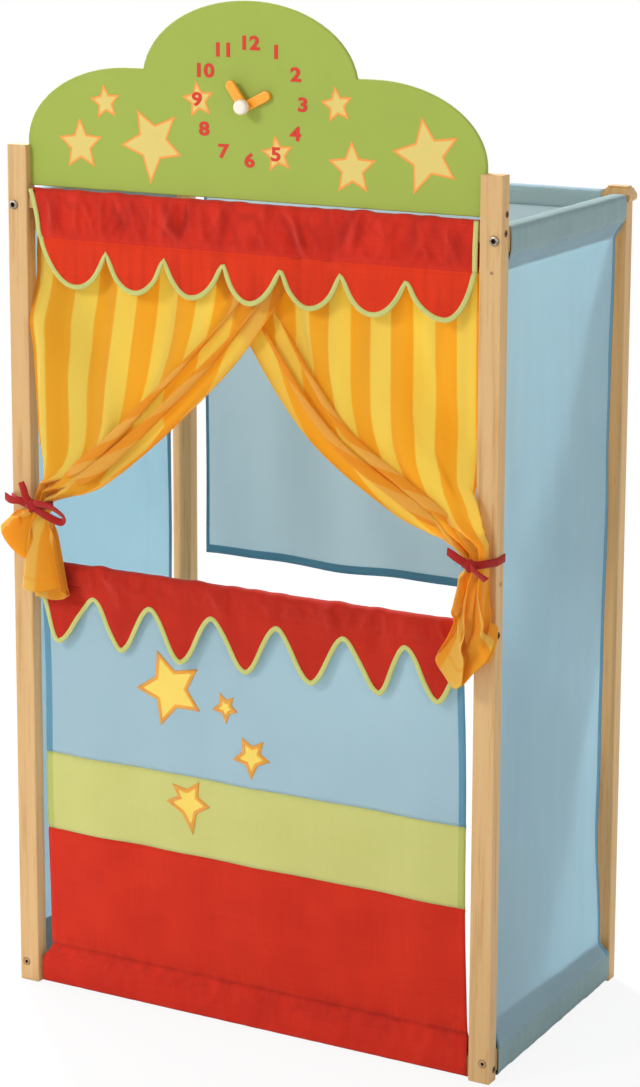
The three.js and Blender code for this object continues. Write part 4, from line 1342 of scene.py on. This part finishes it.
# Sewn stars: their five tips, across and up
sewn_stars = [
    [(-0.1359, 0.4955), (-0.1676, 0.4430), (-0.1320, 0.3989), (-0.0746, 0.4255), (-0.0774, 0.4794)],
    [(-0.0410, 0.4538), (-0.0524, 0.4302), (-0.0311, 0.4150), (-0.0138, 0.4328), (-0.0200, 0.4510)],
    [(-0.0057, 0.3990), (-0.0191, 0.3687), (0.0079, 0.3462), (0.0340, 0.3726), (0.0245, 0.3972)],
    [(-0.0753, 0.3259), (-0.1140, 0.3178), (-0.1227, 0.2942), (-0.0842, 0.2556), (-0.0593, 0.2949)],
]
star_growth = 1.06
stitch_wide = 0.0050
stitch_tall = 0.0012
patch_waist_share = 0.5
side_steps = 8
sharpest_turn = 0.35
least_area_share = 0.31


def inset_corners(corners, depth):
    """The outline moved inwards by a depth, corner by corner."""
    moved = []
    for before, corner, after in zip(corners[-1:] + corners, corners, corners[1:] + corners[:1]):
        normals = [quarter_turned((end - start).normalized())
                   for start, end in ((before, corner), (corner, after))]
        bisector = (normals[0] + normals[1]).normalized()
        moved.append(corner + bisector * (depth / max(bisector.dot(normals[0]), sharpest_turn)))
    return moved


def outline_walk(corners):
    """Points along an outline, each side in equal steps."""
    points = []
    for corner, following in zip(corners, corners[1:] + corners[:1]):
        points.extend(corner.lerp(following, step / side_steps) for step in range(side_steps))
    return points


def star_row(shape, points, lengths, step, tall):
    """A closed row of vertices that high over the panel, with their places along the stitches."""
    row = []
    for x, z in points:
        y = panel_y - panel_swell(x, z) - cloth_thick / 2 - tall
        row.append(shape.verts.new((x, y, z)))
    across = step * stitch_wide / 3
    return [(vertex, (along, across)) for vertex, along in zip(row + row[:1], lengths)]


def add_sewn_star(name, node, tips):
    """A patch under a raised row of stitches that covers its edge."""
    middle = middle_of(tips)
    tips = [middle + (Vector(tip) - middle) * star_growth for tip in tips]
    corners = star_corners(tips, patch_waist_share)
    outer = outline_walk(corners)
    crest = outline_walk(inset_corners(corners, stitch_wide / 2))
    inner = outline_walk(inset_corners(corners, stitch_wide))
    lengths = lengths_along(outer + outer[:1])
    levels = [(outer, -0.0002), (outer, stitch_tall * 0.6), (crest, stitch_tall),
              (inner, stitch_tall * 0.5)]
    shape, flat_map = new_shape()
    rows = [star_row(shape, points, lengths, step, tall)
            for step, (points, tall) in enumerate(levels)]
    for low_row, high_row in zip(rows, rows[1:]):
        for face in bridge(shape, flat_map, low_row, high_row):
            face.material_index = 1
    patch = shape.faces.new([vertex for vertex, _ in rows[-1][:-1]])
    under = shape.faces.new([vertex for vertex, _ in reversed(rows[0][:-1])])
    for face in (patch, under):
        for loop in face.loops:
            loop[flat_map].uv = (loop.vert.co.x, loop.vert.co.z)
    bmesh.ops.recalc_face_normals(shape, faces=shape.faces)
    bmesh.ops.triangulate(shape, faces=[patch, under])
    piece = finished(name, shape, ["star_cotton", "orange_stitches"])
    width, length = [max(places) - min(places) for places in zip(*tips)]
    area = abs(sum(a.cross(b) for a, b in zip(corners, corners[1:] + corners[:1]))) / 2
    hang(piece, "stand", [node],
         max(area, least_area_share * width * length))


for star_number, star_tips in enumerate(sewn_stars, 1):
    add_sewn_star(f"sewn_star_{star_number}", f"panel_star_{star_number}", star_tips)


# Side panels: one sheet each, with a pocket round the top rail and one round the bottom rail

rail_low, rail_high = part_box("right_top_rail")
low_rail_low, low_rail_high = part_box("right_bottom_rail")
rear_low, rear_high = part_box("rear_right_post")
rail_wide = 0.020
side_lean = (outer_half - rear_high.x) / (rear_low.y - post_back)
side_seam = 1.037
foot_seam_front, foot_seam_rear = 0.075, 0.062
side_sheet = (post_back + 0.005, rear_low.y - 0.013)
side_pocket = (post_back + 0.002, rear_low.y - 0.0045)
side_hem = 0.009
side_grid = (0.0045, 0.007)


def side_edges(up):
    """Front and rear edge of the panel at a height: the pockets reach further than the sheet."""
    top_share = smooth((up - side_seam + 0.004) / (rail_low.z - side_seam + 0.01))
    low_share = smooth((foot_seam_front - up) / (foot_seam_front - low_rail_high.z))
    share = max(top_share, low_share)
    return mix(side_sheet[0], side_pocket[0], share), mix(side_sheet[1], side_pocket[1], share)


def add_side_panel(side_name, mirror, seed):
    """One sheet from inside the top rail, over it and down outside, and under the bottom rail."""
    plane = outer_half - rail_wide / 2
    outer, inner = outer_half + rail_slack, outer_half - rail_wide - rail_slack
    top, foot = rail_high.z + rail_slack, low_rail_low.z - 0.006
    section = rounded(
        (plane - cloth_thick, side_seam),
        (inner, rail_low.z),
        (inner, top),
        (outer, top),
        (outer, rail_low.z),
        (plane, side_seam),
        (plane, foot_seam_front),
        (outer, low_rail_high.z),
        (outer, foot),
        (inner, foot),
        (inner, low_rail_high.z),
        (plane - cloth_thick, foot_seam_front),
    )
    length = route_length(section)
    top_pocket = route_length([spot for spot in section if spot.y >= side_seam])
    low_pocket = route_length([spot for spot in section if spot.y <= foot_seam_front])
    width = side_sheet[1] - side_sheet[0]

    def place(u, v, across, down):
        x, z = walk(section, down)
        front, rear = side_edges(z)
        y = mix(front, rear, u)
        free = held((z - foot_seam_front) / 0.25) * held((side_seam - z) / 0.25)
        outwards = x - plane
        x += 0.0016 * ripple(y, z * 0.3, 0.04, seed)
        if foot_seam_front <= z <= side_seam:
            x += 0.0052 * math.sin(26 * (y - post_back) + 0.9 * z + seed) * smooth(free * 1.5)
            x += 0.0030 * ripple(y, z * 0.12, 0.028, seed + 9) * smooth(free * 2)
        else:
            x += math.copysign(0.0014 * ripple(y, z * 0.6, 0.022, seed + 2), outwards)
        x -= side_lean * (y - post_back)
        drop = (foot_seam_rear - foot_seam_front) * u * held((z - low_rail_high.z) / 0.03)
        return Vector((x * mirror, y, z + drop * peak(z - foot_seam_front, 0.06)))

    def zone(across, down):
        if down < top_pocket or down > length - low_pocket:
            return 2
        return 1 if across > width - side_hem or across < side_hem * 0.5 else 0

    rows = even_rows(width, length, side_grid)
    piece = cloth_piece(
        f"{side_name}_side_cloth", rows, place, ["blue_side", "blue_hem", "blue_pocket"], zone)
    if mirror < 0:
        turn_faces(piece)
    hang(piece, "stand", [f"{side_name}_side_panel"])


def turn_faces(piece):
    """Turns every face outwards."""
    shape = bmesh.new()
    shape.from_mesh(piece.data)
    bmesh.ops.recalc_face_normals(shape, faces=shape.faces)
    shape.to_mesh(piece.data)
    shape.free()


add_side_panel("right", 1, 2.0)
add_side_panel("left", -1, 4.0)


# Rear curtain: a sleeve round the rod and a free sheet with a hem

rod_low, rod_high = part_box("rear_rod")
flap_low, flap_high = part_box("rear_curtain")
rod_y, rod_z = (rod_low.y + rod_high.y) / 2, (rod_low.z + rod_high.z) / 2
flap_half = 0.303
flap_sleeve_half = flap_high.x
flap_seam = 1.068
flap_hem = 0.010
flap_grid = (0.005, 0.006)
loop_start, loop_step, loop_points = 200, 20, 12


def add_rear_curtain():
    """The section goes up from the seam, round the rod, down to the seam, and on to the hem."""
    radius = (rod_high.z - rod_low.z) / 2 + rail_slack
    angles = [math.radians(loop_start - loop_step * step) for step in range(loop_points)]
    loop = [(rod_y + radius * math.cos(angle), rod_z + radius * math.sin(angle)) for angle in angles]
    seam_ends = [(rod_y - cloth_thick, flap_seam), (rod_y + cloth_thick, flap_seam)]
    corners = [seam_ends[0], *loop, seam_ends[1], (rod_y, flap_low.z)]
    section = [Vector(corner) for corner in corners]
    length = route_length(section)
    sleeve = route_length(section[:-1])
    width = 2 * flap_half

    def place(u, v, across, down):
        y, z = walk(section, down)
        fall = held((flap_seam - z) / (flap_seam - flap_low.z))
        half = mix(flap_sleeve_half, flap_half, smooth((rod_z - z) / (rod_z - flap_seam)))
        x = mix(-half, half, u)
        folds = 0.0042 * math.sin(22 * x + 0.6) + 0.0025 * math.sin(47 * x + 5 * z)
        soft = 0.0016 * ripple(x, z * 0.35, 0.05, 21)
        pucker = 0.0013 * ripple(x, z, 0.018, 23) * (1 - smooth(fall * 20))
        rise = 0.003 * ripple(x, 0, 0.12, 25) * smooth(fall)
        return Vector((x, y + folds * smooth(fall * 1.6) + soft * fall + pucker, z + rise))

    def zone(across, down):
        if down < sleeve:
            return 2
        return 1 if down > length - flap_hem or min(across, width - across) < flap_hem * 0.5 else 0

    rows = even_rows(width, length, flap_grid)
    piece = cloth_piece("rear_cloth", rows, place, ["blue_worn", "blue_hem", "blue_sleeve"], zone)
    hang(piece, "rear_curtain", ["rear_curtain"])


add_rear_curtain()


# Curtains: a thread falls from the header until it meets the drawn edge's roll, and follows the
# roll to the tie. Below the tie the threads spread again to the hem of the tail.
# Places are across and up; across is measured towards the curtain's own post.

curtain_thick = 0.0006
curtain_top = 1.0885
header_outer, header_inner = 0.3275, -0.115
header_y = post_front + 0.0215
cloth_wide = header_outer - header_inner
cut_taper_share = 0.8

tie_up = 0.682
bundle_half = 0.0160
bundle_y = post_front - 0.016
neck_half = 0.010
neck_share = 0.1
neck_folds = 3
neck_pleat = 0.0080

roll_start = 0.030
roll_wide = 0.056
roll_folds = 2.4
roll_slant = 0.22
broad_waves, fine_waves, header_gathers = 4.3, 9.2, 22

tail_cloth = 0.15
tail_overlap = 3.0
tail_pleat = 0.0070
tail_hem_rows = 5
border_share = 0.02

route_steps = 60
fall_steps = 12
fan_rows = 110
tail_rows = 36
curtain_columns = 216
rounding_reach = 5
rounding_times = 6


def curve_through(points, share):
    """A smooth curve through points, at a share of its length."""
    spans = [(end - start).length for start, end in zip(points, points[1:])]
    target = held(share) * sum(spans)
    k = 0
    while k < len(spans) - 1 and target > spans[k]:
        target -= spans[k]
        k += 1
    t = min(target / spans[k], 1)
    before, start, end, after = [points[held_index(i, points)] for i in range(k - 1, k + 3)]
    bend = (2 * before - 5 * start + 4 * end - after) * t * t
    sway = (3 * start - before - 3 * end + after) * t ** 3
    return (2 * start + (end - before) * t + bend + sway) / 2


def dropped_share(up):
    """How far a height is from the header to the tie."""
    return held((curtain_top - up) / (curtain_top - tie_up))


class Curtain:
    """One curtain: its drawn edge, its tail's hem, and how it lies."""

    def __init__(self, side, bundle, drawn_edge, hem, spread, behind, beside, leaves, round_front,
                 held_back, come_forward, lean, seed):
        self.side = side
        self.bundle = bundle
        self.hem = [Vector(point) for point in hem]
        self.spread = spread
        self.behind = behind
        self.beside = beside
        self.leaves = leaves
        self.round_front = round_front
        self.held_back = held_back
        self.come_forward = come_forward
        self.lean = lean
        self.seed = seed
        corners = [Vector(point) for point in drawn_edge]
        self.edge = [curve_through(corners, k / route_steps) for k in range(route_steps + 1)]
        self.normals = [quarter_turned(direction(self.edge, k)) for k in range(route_steps + 1)]

    def roll(self, k):
        """The roll's width at a step along the edge: as wide as the bundle at the tie."""
        share = k / route_steps
        wide = mix(roll_start, roll_wide, smooth(share / 0.35))
        return mix(wide, bundle_half * 2, smooth((share - 0.45) / 0.5))

    def joined(self, k):
        """Where falling threads meet the roll at a step."""
        return self.edge[k] + self.normals[k] * self.roll(k)

    def forward(self, u, dropped):
        """How far a falling thread has come forward, from 0 behind the board to 1 at the tie."""
        start = mix(self.held_back, 0.2, smooth(u * 3))
        return smooth((dropped - start) / mix(self.come_forward, 0.5, smooth(u * 3)))

    def depth(self, u, dropped):
        """Where the cloth lies from front to back, before its folds: forward below the skirt."""
        y = mix(header_y, bundle_y, self.forward(u, dropped))
        return y + self.behind * smooth(2 * (u - 0.3)) * (1 - smooth(dropped))

    def falling(self, u, up):
        """A falling thread's place across: it leans to its post while it comes forward."""
        start = mix(header_outer, header_inner, u)
        return min(start + self.lean * self.forward(u, dropped_share(up)), header_outer)

    def thread(self, u):
        """A thread's route from the header to the tie, with its share of the way through the roll
        at each point."""
        route = [Vector((mix(header_outer, header_inner, u), curtain_top))]
        shares = [0.0]
        before = self.joined(0)
        for k in range(route_steps + 1):
            meeting = self.joined(k)
            across = self.falling(u, meeting.y)
            hidden = self.edge[k].y > curtain_top
            if (meeting.x < across or hidden) and k < route_steps:
                before = meeting
                continue
            if len(route) == 1 and before.x < across < meeting.x:
                crossing = before.lerp(meeting, (across - before.x) / (meeting.x - before.x))
                for step in range(1, fall_steps):
                    up = mix(curtain_top, crossing.y, step / fall_steps)
                    route.append(Vector((self.falling(u, up), up)))
                route.append(crossing)
                shares += [0.0] * fall_steps
            share = held((meeting.x - across) / max(meeting.x - header_inner, 0.001))
            route.append(self.edge[k] + self.normals[k] * self.roll(k) * (1 - share))
            shares.append(share)
        return route, shares


def even_route(route, values, count):
    """Points at even lengths along a route, with the values that go with them, and its length."""
    lengths = lengths_along(route)
    points, shares, at = [], [], 0
    for step in range(count + 1):
        target = lengths[-1] * step / count
        while at < len(route) - 2 and lengths[at + 1] < target:
            at += 1
        share = held((target - lengths[at]) / max(lengths[at + 1] - lengths[at], 1e-9))
        points.append(route[at].lerp(route[at + 1], share))
        shares.append(mix(values[at], values[at + 1], share))
    return points, shares, lengths[-1]


def rounded_off(points):
    """Takes the sharpness out of the turns between a route's ends."""
    for _ in range(rounding_times):
        inner = []
        for k in range(1, len(points) - 1):
            before = points[held_index(k - rounding_reach, points)]
            after = points[held_index(k + rounding_reach, points)]
            inner.append((before + points[k] * 2 + after) / 4)
        points = [points[0]] + inner + [points[-1]]
    return points


def fan_spot(curtain, u, points, shares, j):
    """A place between the header and the tie: threads in the roll wind round it, and the others
    hang in waves. The outer threads bulge beside their post, or round its front."""
    fallen = j / fan_rows
    point, share = points[j], shares[j]
    normal = quarter_turned(direction(points, j))
    if normal.x < 0:
        normal = -normal
    dropped = dropped_share(point.y)
    near_tie = smooth((fallen - 0.82) / 0.18)
    in_roll = smooth(share * 5) * (1 - near_tie)
    wound = in_roll * smooth(fallen * 2.2)
    turn = math.tau * roll_folds * share
    gather = math.sin(math.tau * header_gathers * u + 3 * ripple(u, 0, 0.07, curtain.seed))
    hanging = (1 - in_roll) * (1 - near_tie) * smooth(fallen * 4 + 0.15)
    y = curtain.depth(u, dropped)
    y += (0.0055 * math.cos(turn) - 0.008) * wound
    y += hanging * 0.0036 * math.sin(math.tau * broad_waves * u + 1.1 + curtain.seed + 1.6 * fallen)
    y += hanging * 0.0020 * math.sin(math.tau * fine_waves * u + curtain.seed * 2 - 2.2 * fallen)
    y += 0.0020 * gather * math.exp(-dropped * 9)
    y += neck_pleat * math.cos(math.tau * neck_folds * u) * near_tie
    y += 0.0016 * ripple(u * 0.44, point.y * 0.5, 0.035, curtain.seed + 5) * (1 - near_tie)
    slide = -mix(0.006, 0.014, dropped) * math.sin(turn) * wound
    beside = smooth(dropped / 0.25) * (1 - smooth((dropped - curtain.leaves) / 0.12))
    round_front = smooth((post_front - 0.001 - y) / 0.012)
    bulge = (curtain.beside * beside + curtain.round_front * round_front) * smooth(1 - u * 3)
    return Vector((point.x + normal.x * slide + bulge, y, point.y + normal.y * slide))


def tail_spot(curtain, u, start, hung):
    """A place below the tie, and the cloth's length from the tie to it. The neck runs through the
    ribbon before the threads spread."""
    turn = math.tau * neck_folds * u
    across = mix(curtain.bundle + bundle_half, curtain.bundle - bundle_half, u)
    neck = Vector((across, bundle_y + neck_pleat * math.cos(turn), tie_up - neck_half))
    in_neck = held(hung / neck_share)
    free = held((hung - neck_share) / (1 - neck_share))
    folded = smooth(free * 2.5)
    laid = held(u + tail_overlap * folded * math.sin(turn) / (math.tau * neck_folds))
    hem = curve_through(curtain.hem, laid) + Vector((0, bundle_y, 0))
    if in_neck < 1:
        spot = start.lerp(neck, in_neck)
    else:
        spot = neck.lerp(hem, free)
        spot.x = mix(neck.x, hem.x, free ** curtain.spread)
        if curtain.spread > 1:
            spot.x -= 0.010 * laid * smooth(free / 0.12) * (1 - smooth((free - 0.3) / 0.3))
            ridge = free - 0.85 + 0.5 * laid
            spot.y -= 0.009 * peak(ridge, 0.07) - 0.004 * smooth(ridge / 0.2)
        spot.y += tail_pleat * math.sin(turn) * folded - 0.004 * math.sin(math.pi * free)
        spot.z += 0.002 * ripple(u * 0.3, free * 0.1, 0.03, curtain.seed) * free
    return spot, (neck - hem).length * free + neck_half * in_neck


def add_curtain(curtain, name, node):
    """The threads are worked out first, one a column, and then every row from the header down."""
    columns = []
    for u in [i / curtain_columns for i in range(curtain_columns + 1)]:
        points, shares, length = even_route(*curtain.thread(u), fan_rows)
        columns.append((u, rounded_off(points), rounded_off(shares), length))
    last_row = fan_rows + tail_rows
    rows, spots = [], []
    for j in range(last_row + 1):
        row, line = [], []
        fan_row = min(j, fan_rows)
        fallen = fan_row / fan_rows
        for u, points, shares, length in columns:
            spot, below = fan_spot(curtain, u, points, shares, fan_row), 0
            if j > fan_rows:
                spot, below = tail_spot(curtain, u, spot, (j - fan_rows) / tail_rows)
            slant = roll_slant * length * held(shares[fan_row]) * fallen
            row.append((cloth_wide * u - slant, length * fallen + below))
            line.append(Vector((spot.x * curtain.side, spot.y, spot.z)))
        rows.append(row)
        spots.append(line)

    def place(u, v, across, down):
        return spots[round(v * last_row)][round(u * curtain_columns)]

    def fold(u, v, across, down):
        """Painted shade in the valleys and between the tail's folds; also dark along the drawn edge's
        turned border, and on the tail's hem.
        """
        row = round(v * last_row)
        if row > fan_rows:
            # Below the tie: painted shade between the tail's folds, and a dark line at its hem.
            deep = 0.5 + 0.5 * math.sin(math.tau * neck_folds * u)
            return 0.7 if row == last_row - tail_hem_rows else 0.1 + 0.6 * deep
        share = columns[round(u * curtain_columns)][2][row]
        # The valleys of the roll get painted shade.
        valley = 0.5 - 0.5 * math.cos(math.tau * roll_folds * share)
        border = 0.8 if u < border_share else 0
        return max(held(smooth(share * 6) * (0.15 + 0.45 * valley)), border)

    piece = cloth_piece(name, rows, place, ["striped_cotton"], thick=curtain_thick, fold=fold)
    turn_faces(piece)
    thread_lengths = [length + tail_cloth for _, _, _, length in columns]
    mean = sum(thread_lengths) / len(thread_lengths)
    hang(piece, "stand", [node],
         cloth_wide * mean * cut_taper_share)


# Drawn edges: across and up
left_edge = [(-0.115, 1.100), (-0.063, 1.013), (-0.0085, 0.922), (0.062, 0.843), (0.138, 0.776),
             (0.232, 0.706), (0.289, 0.684)]
right_edge = [(-0.115, 1.100), (-0.060, 1.000), (0.0085, 0.922), (0.128, 0.798), (0.227, 0.745),
              (0.283, 0.714), (0.322, 0.682)]
# Hems of the tails: across, behind the bundle's middle, and up
left_hem = [(0.350, 0.006, 0.664), (0.361, -0.003, 0.645), (0.344, -0.012, 0.624),
            (0.322, -0.010, 0.607), (0.314, 0.002, 0.612), (0.325, 0.000, 0.578),
            (0.321, -0.012, 0.567), (0.294, -0.016, 0.565), (0.268, -0.008, 0.572),
            (0.266, 0.006, 0.558), (0.290, 0.009, 0.551), (0.318, 0.006, 0.553)]
right_hem = [(0.366, 0.003, 0.602), (0.367, -0.006, 0.582), (0.360, -0.010, 0.563),
             (0.341, -0.013, 0.543), (0.321, -0.014, 0.523), (0.302, -0.012, 0.537),
             (0.285, -0.006, 0.552), (0.290, 0.005, 0.562), (0.312, 0.009, 0.556),
             (0.336, 0.008, 0.566)]

# Spread: how late the tail widens. Behind: how far the drawn edge hangs back at the header.
# Beside, leaves: how far the outer threads hang over the post's side, and where they leave it.
# Round front: how far they go round the post's front. Held back, come forward and lean: where the
# outer threads start to come forward, over how much of the fall, and how far across they lean.
left_curtain = Curtain(
    side=-1,
    bundle=0.304,
    drawn_edge=left_edge,
    hem=left_hem,
    spread=0.5,
    behind=-0.002,
    beside=0.0115,
    leaves=0.38,
    round_front=0.0,
    held_back=0.22,
    come_forward=0.28,
    lean=0.0,
    seed=0.4,
)
right_curtain = Curtain(
    side=1,
    bundle=0.338,
    drawn_edge=right_edge,
    hem=right_hem,
    spread=2.2,
    behind=0.016,
    beside=0.0010,
    leaves=0.60,
    round_front=0.012,
    held_back=0.66,
    come_forward=0.26,
    lean=0.022,
    seed=1.9,
)
add_curtain(left_curtain, "left_curtain_cloth", "left_curtain")
add_curtain(right_curtain, "right_curtain_cloth", "right_curtain")


# Ribbon ties: a ring round post and bundle, a knot, its ends and a loop

ribbon_half = 0.0050
ribbon_thick = 0.0011
ring_gap = 0.0011
circle_steps = 24
bow_steps = 40
knot_y = post_front - 0.0340
knot_reach = (0.0080, 0.0056, 0.0076)


def ring_route(bundle):
    """The ring's line in plan round the post and the bundle."""
    corners = [(inner_half, post_back), (outer_half, post_back), (outer_half, post_front)]
    circles = [(corner, ring_gap) for corner in corners]
    circles.append(((bundle, bundle_y), bundle_half + ring_gap))
    points = []
    for (across, y), reach in circles:
        for angle in [math.tau * step / circle_steps for step in range(circle_steps)]:
            points.append(Vector((across + reach * math.cos(angle), y + reach * math.sin(angle))))
    return convex_ring(points)


def convex_ring(points):
    """The points that a string drawn tight round all of them would touch, in turn."""
    points = sorted(points, key=lambda point: (point.x, point.y))
    ring = []
    for run in (points, points[::-1]):
        half = []
        for point in run:
            while len(half) > 1 and (half[-1] - half[-2]).cross(point - half[-2]) <= 0:
                half.pop()
            half.append(point)
        ring.extend(half[:-1])
    return ring


def ribbon_strip(shape, flat_map, route, widths, sides):
    """A flat strip along a route, with its half width and its direction across at each point."""
    rows = []
    for point, run, half, across in zip(route, lengths_along(route), widths, sides):
        rows.append([(shape.verts.new(point + across * half * end), (run, half * end))
                     for end in (-1, -0.33, 0.33, 1)])
    for first, second in zip(rows, rows[1:]):
        bridge(shape, flat_map, first, second)


def bow_part(shape, flat_map, curtain, points, turn):
    """One end or loop of the bow, which twists on its way from the knot. Gives its length."""
    corners = [Vector(((curtain.bundle + x) * curtain.side, post_front + y, z)) for x, y, z in points]
    shares = [step / bow_steps for step in range(bow_steps + 1)]
    route = [curve_through(corners, share) for share in shares]
    sides, widths = [], []
    for k, share in enumerate(shares):
        along = direction(route, k)
        flat = Vector((0, 1, 0)).lerp(Vector((0.1, 1, 0.2)), share)
        twist = Matrix.Rotation(turn * math.sin(math.pi * share), 3, along)
        sides.append(twist @ along.cross(flat).normalized())
        widths.append(ribbon_half * mix(0.62, 1, smooth(share * 5)))
    ribbon_strip(shape, flat_map, route, widths, sides)
    return route_length(route)


def add_tie(side_name, curtain, bow, seed):
    """The ribbon's ring and the parts of its bow are one sheet, and the knot goes with it."""
    shape, flat_map = new_shape()
    ring = ring_route(curtain.bundle)
    route = [Vector((x * curtain.side, y, tie_up + 0.0012 * ripple(x, y, 0.02, seed)))
             for x, y in ring + ring[:1]]
    straight_up = [Vector((0, 0, 1))] * len(route)
    ribbon_strip(shape, flat_map, route, [ribbon_half] * len(route), straight_up)
    total = route_length(route)
    for points, turn in bow:
        total += bow_part(shape, flat_map, curtain, points, turn)
    name = f"{side_name}_tie_ribbon"
    piece = finished(name, shape, ["red_ribbon"])
    thicken(piece, ribbon_thick)
    knot = add_knot(name + "_knot", curtain.bundle * curtain.side, seed)
    hang(piece, "stand", [f"{side_name}_tie"])


def add_knot(name, across, seed):
    """The knot's wrap: a small ball, drawn flat and with creases where the ribbon goes round."""
    bpy.ops.mesh.primitive_uv_sphere_add(segments=48, ring_count=32, radius=1)
    piece = bpy.context.object
    flat_map = piece.data.uv_layers.new(name="flat")
    for vertex in piece.data.vertices:
        x, y, z = vertex.co
        wrap = 1 + 0.10 * math.cos(5 * x + 2 * z + seed) + 0.06 * math.sin(11 * x + 3 * z)
        square = 1 + 0.16 * math.cos(4 * math.atan2(z, x))
        shares = (x * square, y * wrap, z * wrap * square)
        vertex.co = [reach * share for reach, share in zip(knot_reach, shares)]
    for loop in piece.data.loops:
        x, _, z = piece.data.vertices[loop.vertex_index].co
        flat_map.data[loop.index].uv = (x, z)
    piece.location = (across, knot_y, tie_up)
    return settle(piece, name, "red_ribbon", "stand")


# Ends and loops of the bows: routes from the knot, each place across from the bundle's middle,
# behind the post's front and up, and then the route's twist
left_bow = [
    ([(0, -0.034, 0.684), (0.007, -0.038, 0.694), (0.012, -0.036, 0.704),
      (0.016, -0.036, 0.713)], 0.3),
    ([(0, -0.034, 0.684), (0.018, -0.037, 0.688), (0.033, -0.035, 0.687),
      (0.046, -0.030, 0.690)], 0.4),
    ([(0, -0.034, 0.683), (-0.012, -0.040, 0.688), (-0.034, -0.038, 0.684), (-0.049, -0.033, 0.672),
      (-0.042, -0.030, 0.664), (-0.020, -0.034, 0.672), (-0.002, -0.034, 0.680)], 0.5),
]
right_bow = [
    ([(0, -0.034, 0.683), (-0.009, -0.039, 0.688), (-0.020, -0.038, 0.693),
      (-0.030, -0.034, 0.696)], 0.4),
    ([(0, -0.034, 0.682), (0.007, -0.040, 0.680), (0.015, -0.038, 0.673),
      (0.023, -0.033, 0.666)], 0.4),
]
add_tie("left", left_curtain, left_bow, 3.0)
add_tie("right", right_curtain, right_bow, 8.0)


# Floor, backdrop light and lamps

floor_size = 40
lamp_aim = Vector((0, 0, 0.7))


def add_floor():
    """A white floor that keeps a faint shadow of the object and fades into the backdrop."""
    bpy.ops.mesh.primitive_plane_add(size=floor_size)
    floor = bpy.context.object
    floor.name = "floor"
    finish = Finish("floor")
    away = finish.node("VectorMath", {"operation": "LENGTH"}, {0: finish.object_place()}, "Value")
    fade = finish.between(away, 1.0, 2.6)
    finish.set({"Base Color": (0.86, 0.86, 0.86, 1), "Roughness": 0.9})
    camera, glossy, through = [finish.node("LightPath", output=f"Is {kind} Ray")
                               for kind in ("Camera", "Glossy", "Transmission")]
    seen = camera.math("MAXIMUM", glossy).math("MAXIMUM", through)
    white = finish.node("Emission", values={"Color": (1, 1, 1, 1), "Strength": 1.0})
    finish.cover(seen * (fade * 0.12 + 0.88), white.socket)
    floor.data.materials.append(finish.material)
    floor.select_set(False)


def add_world():
    """White where it is seen, and dimmer as a light."""
    world = bpy.data.worlds.new("studio")
    world.use_nodes = True
    scene.world = world
    tree = world.node_tree
    background = tree.nodes["Background"]
    background.inputs["Color"].default_value = (1, 1, 1, 1)
    rays = tree.nodes.new("ShaderNodeLightPath")
    seen = tree.nodes.new("ShaderNodeMath")
    seen.operation = "MAXIMUM"
    tree.links.new(rays.outputs["Is Camera Ray"], seen.inputs[0])
    tree.links.new(rays.outputs["Is Glossy Ray"], seen.inputs[1])
    level = tree.nodes.new("ShaderNodeMapRange")
    level.inputs["To Min"].default_value = 0.56
    level.inputs["To Max"].default_value = 1.0
    tree.links.new(seen.outputs[0], level.inputs["Value"])
    tree.links.new(level.outputs[0], background.inputs["Strength"])


def add_lamp(name, place, size, power):
    lamp = add_object(name, bpy.data.lights.new(name, "AREA"))
    lamp.data.size = size
    lamp.data.energy = power
    lamp.location = place
    lamp.rotation_euler = (lamp_aim - Vector(place)).to_track_quat("-Z", "Y").to_euler()


add_floor()
add_world()
add_lamp("key", (-2.2, -3.6, 3.2), 1.1, 84)
add_lamp("fill", (3.2, -2.6, 2.0), 2.6, 22)
add_lamp("back", (-2.4, 2.2, 4.4), 0.7, 250)
add_lamp("left", (-3.6, 0.6, 1.8), 2.2, 100)
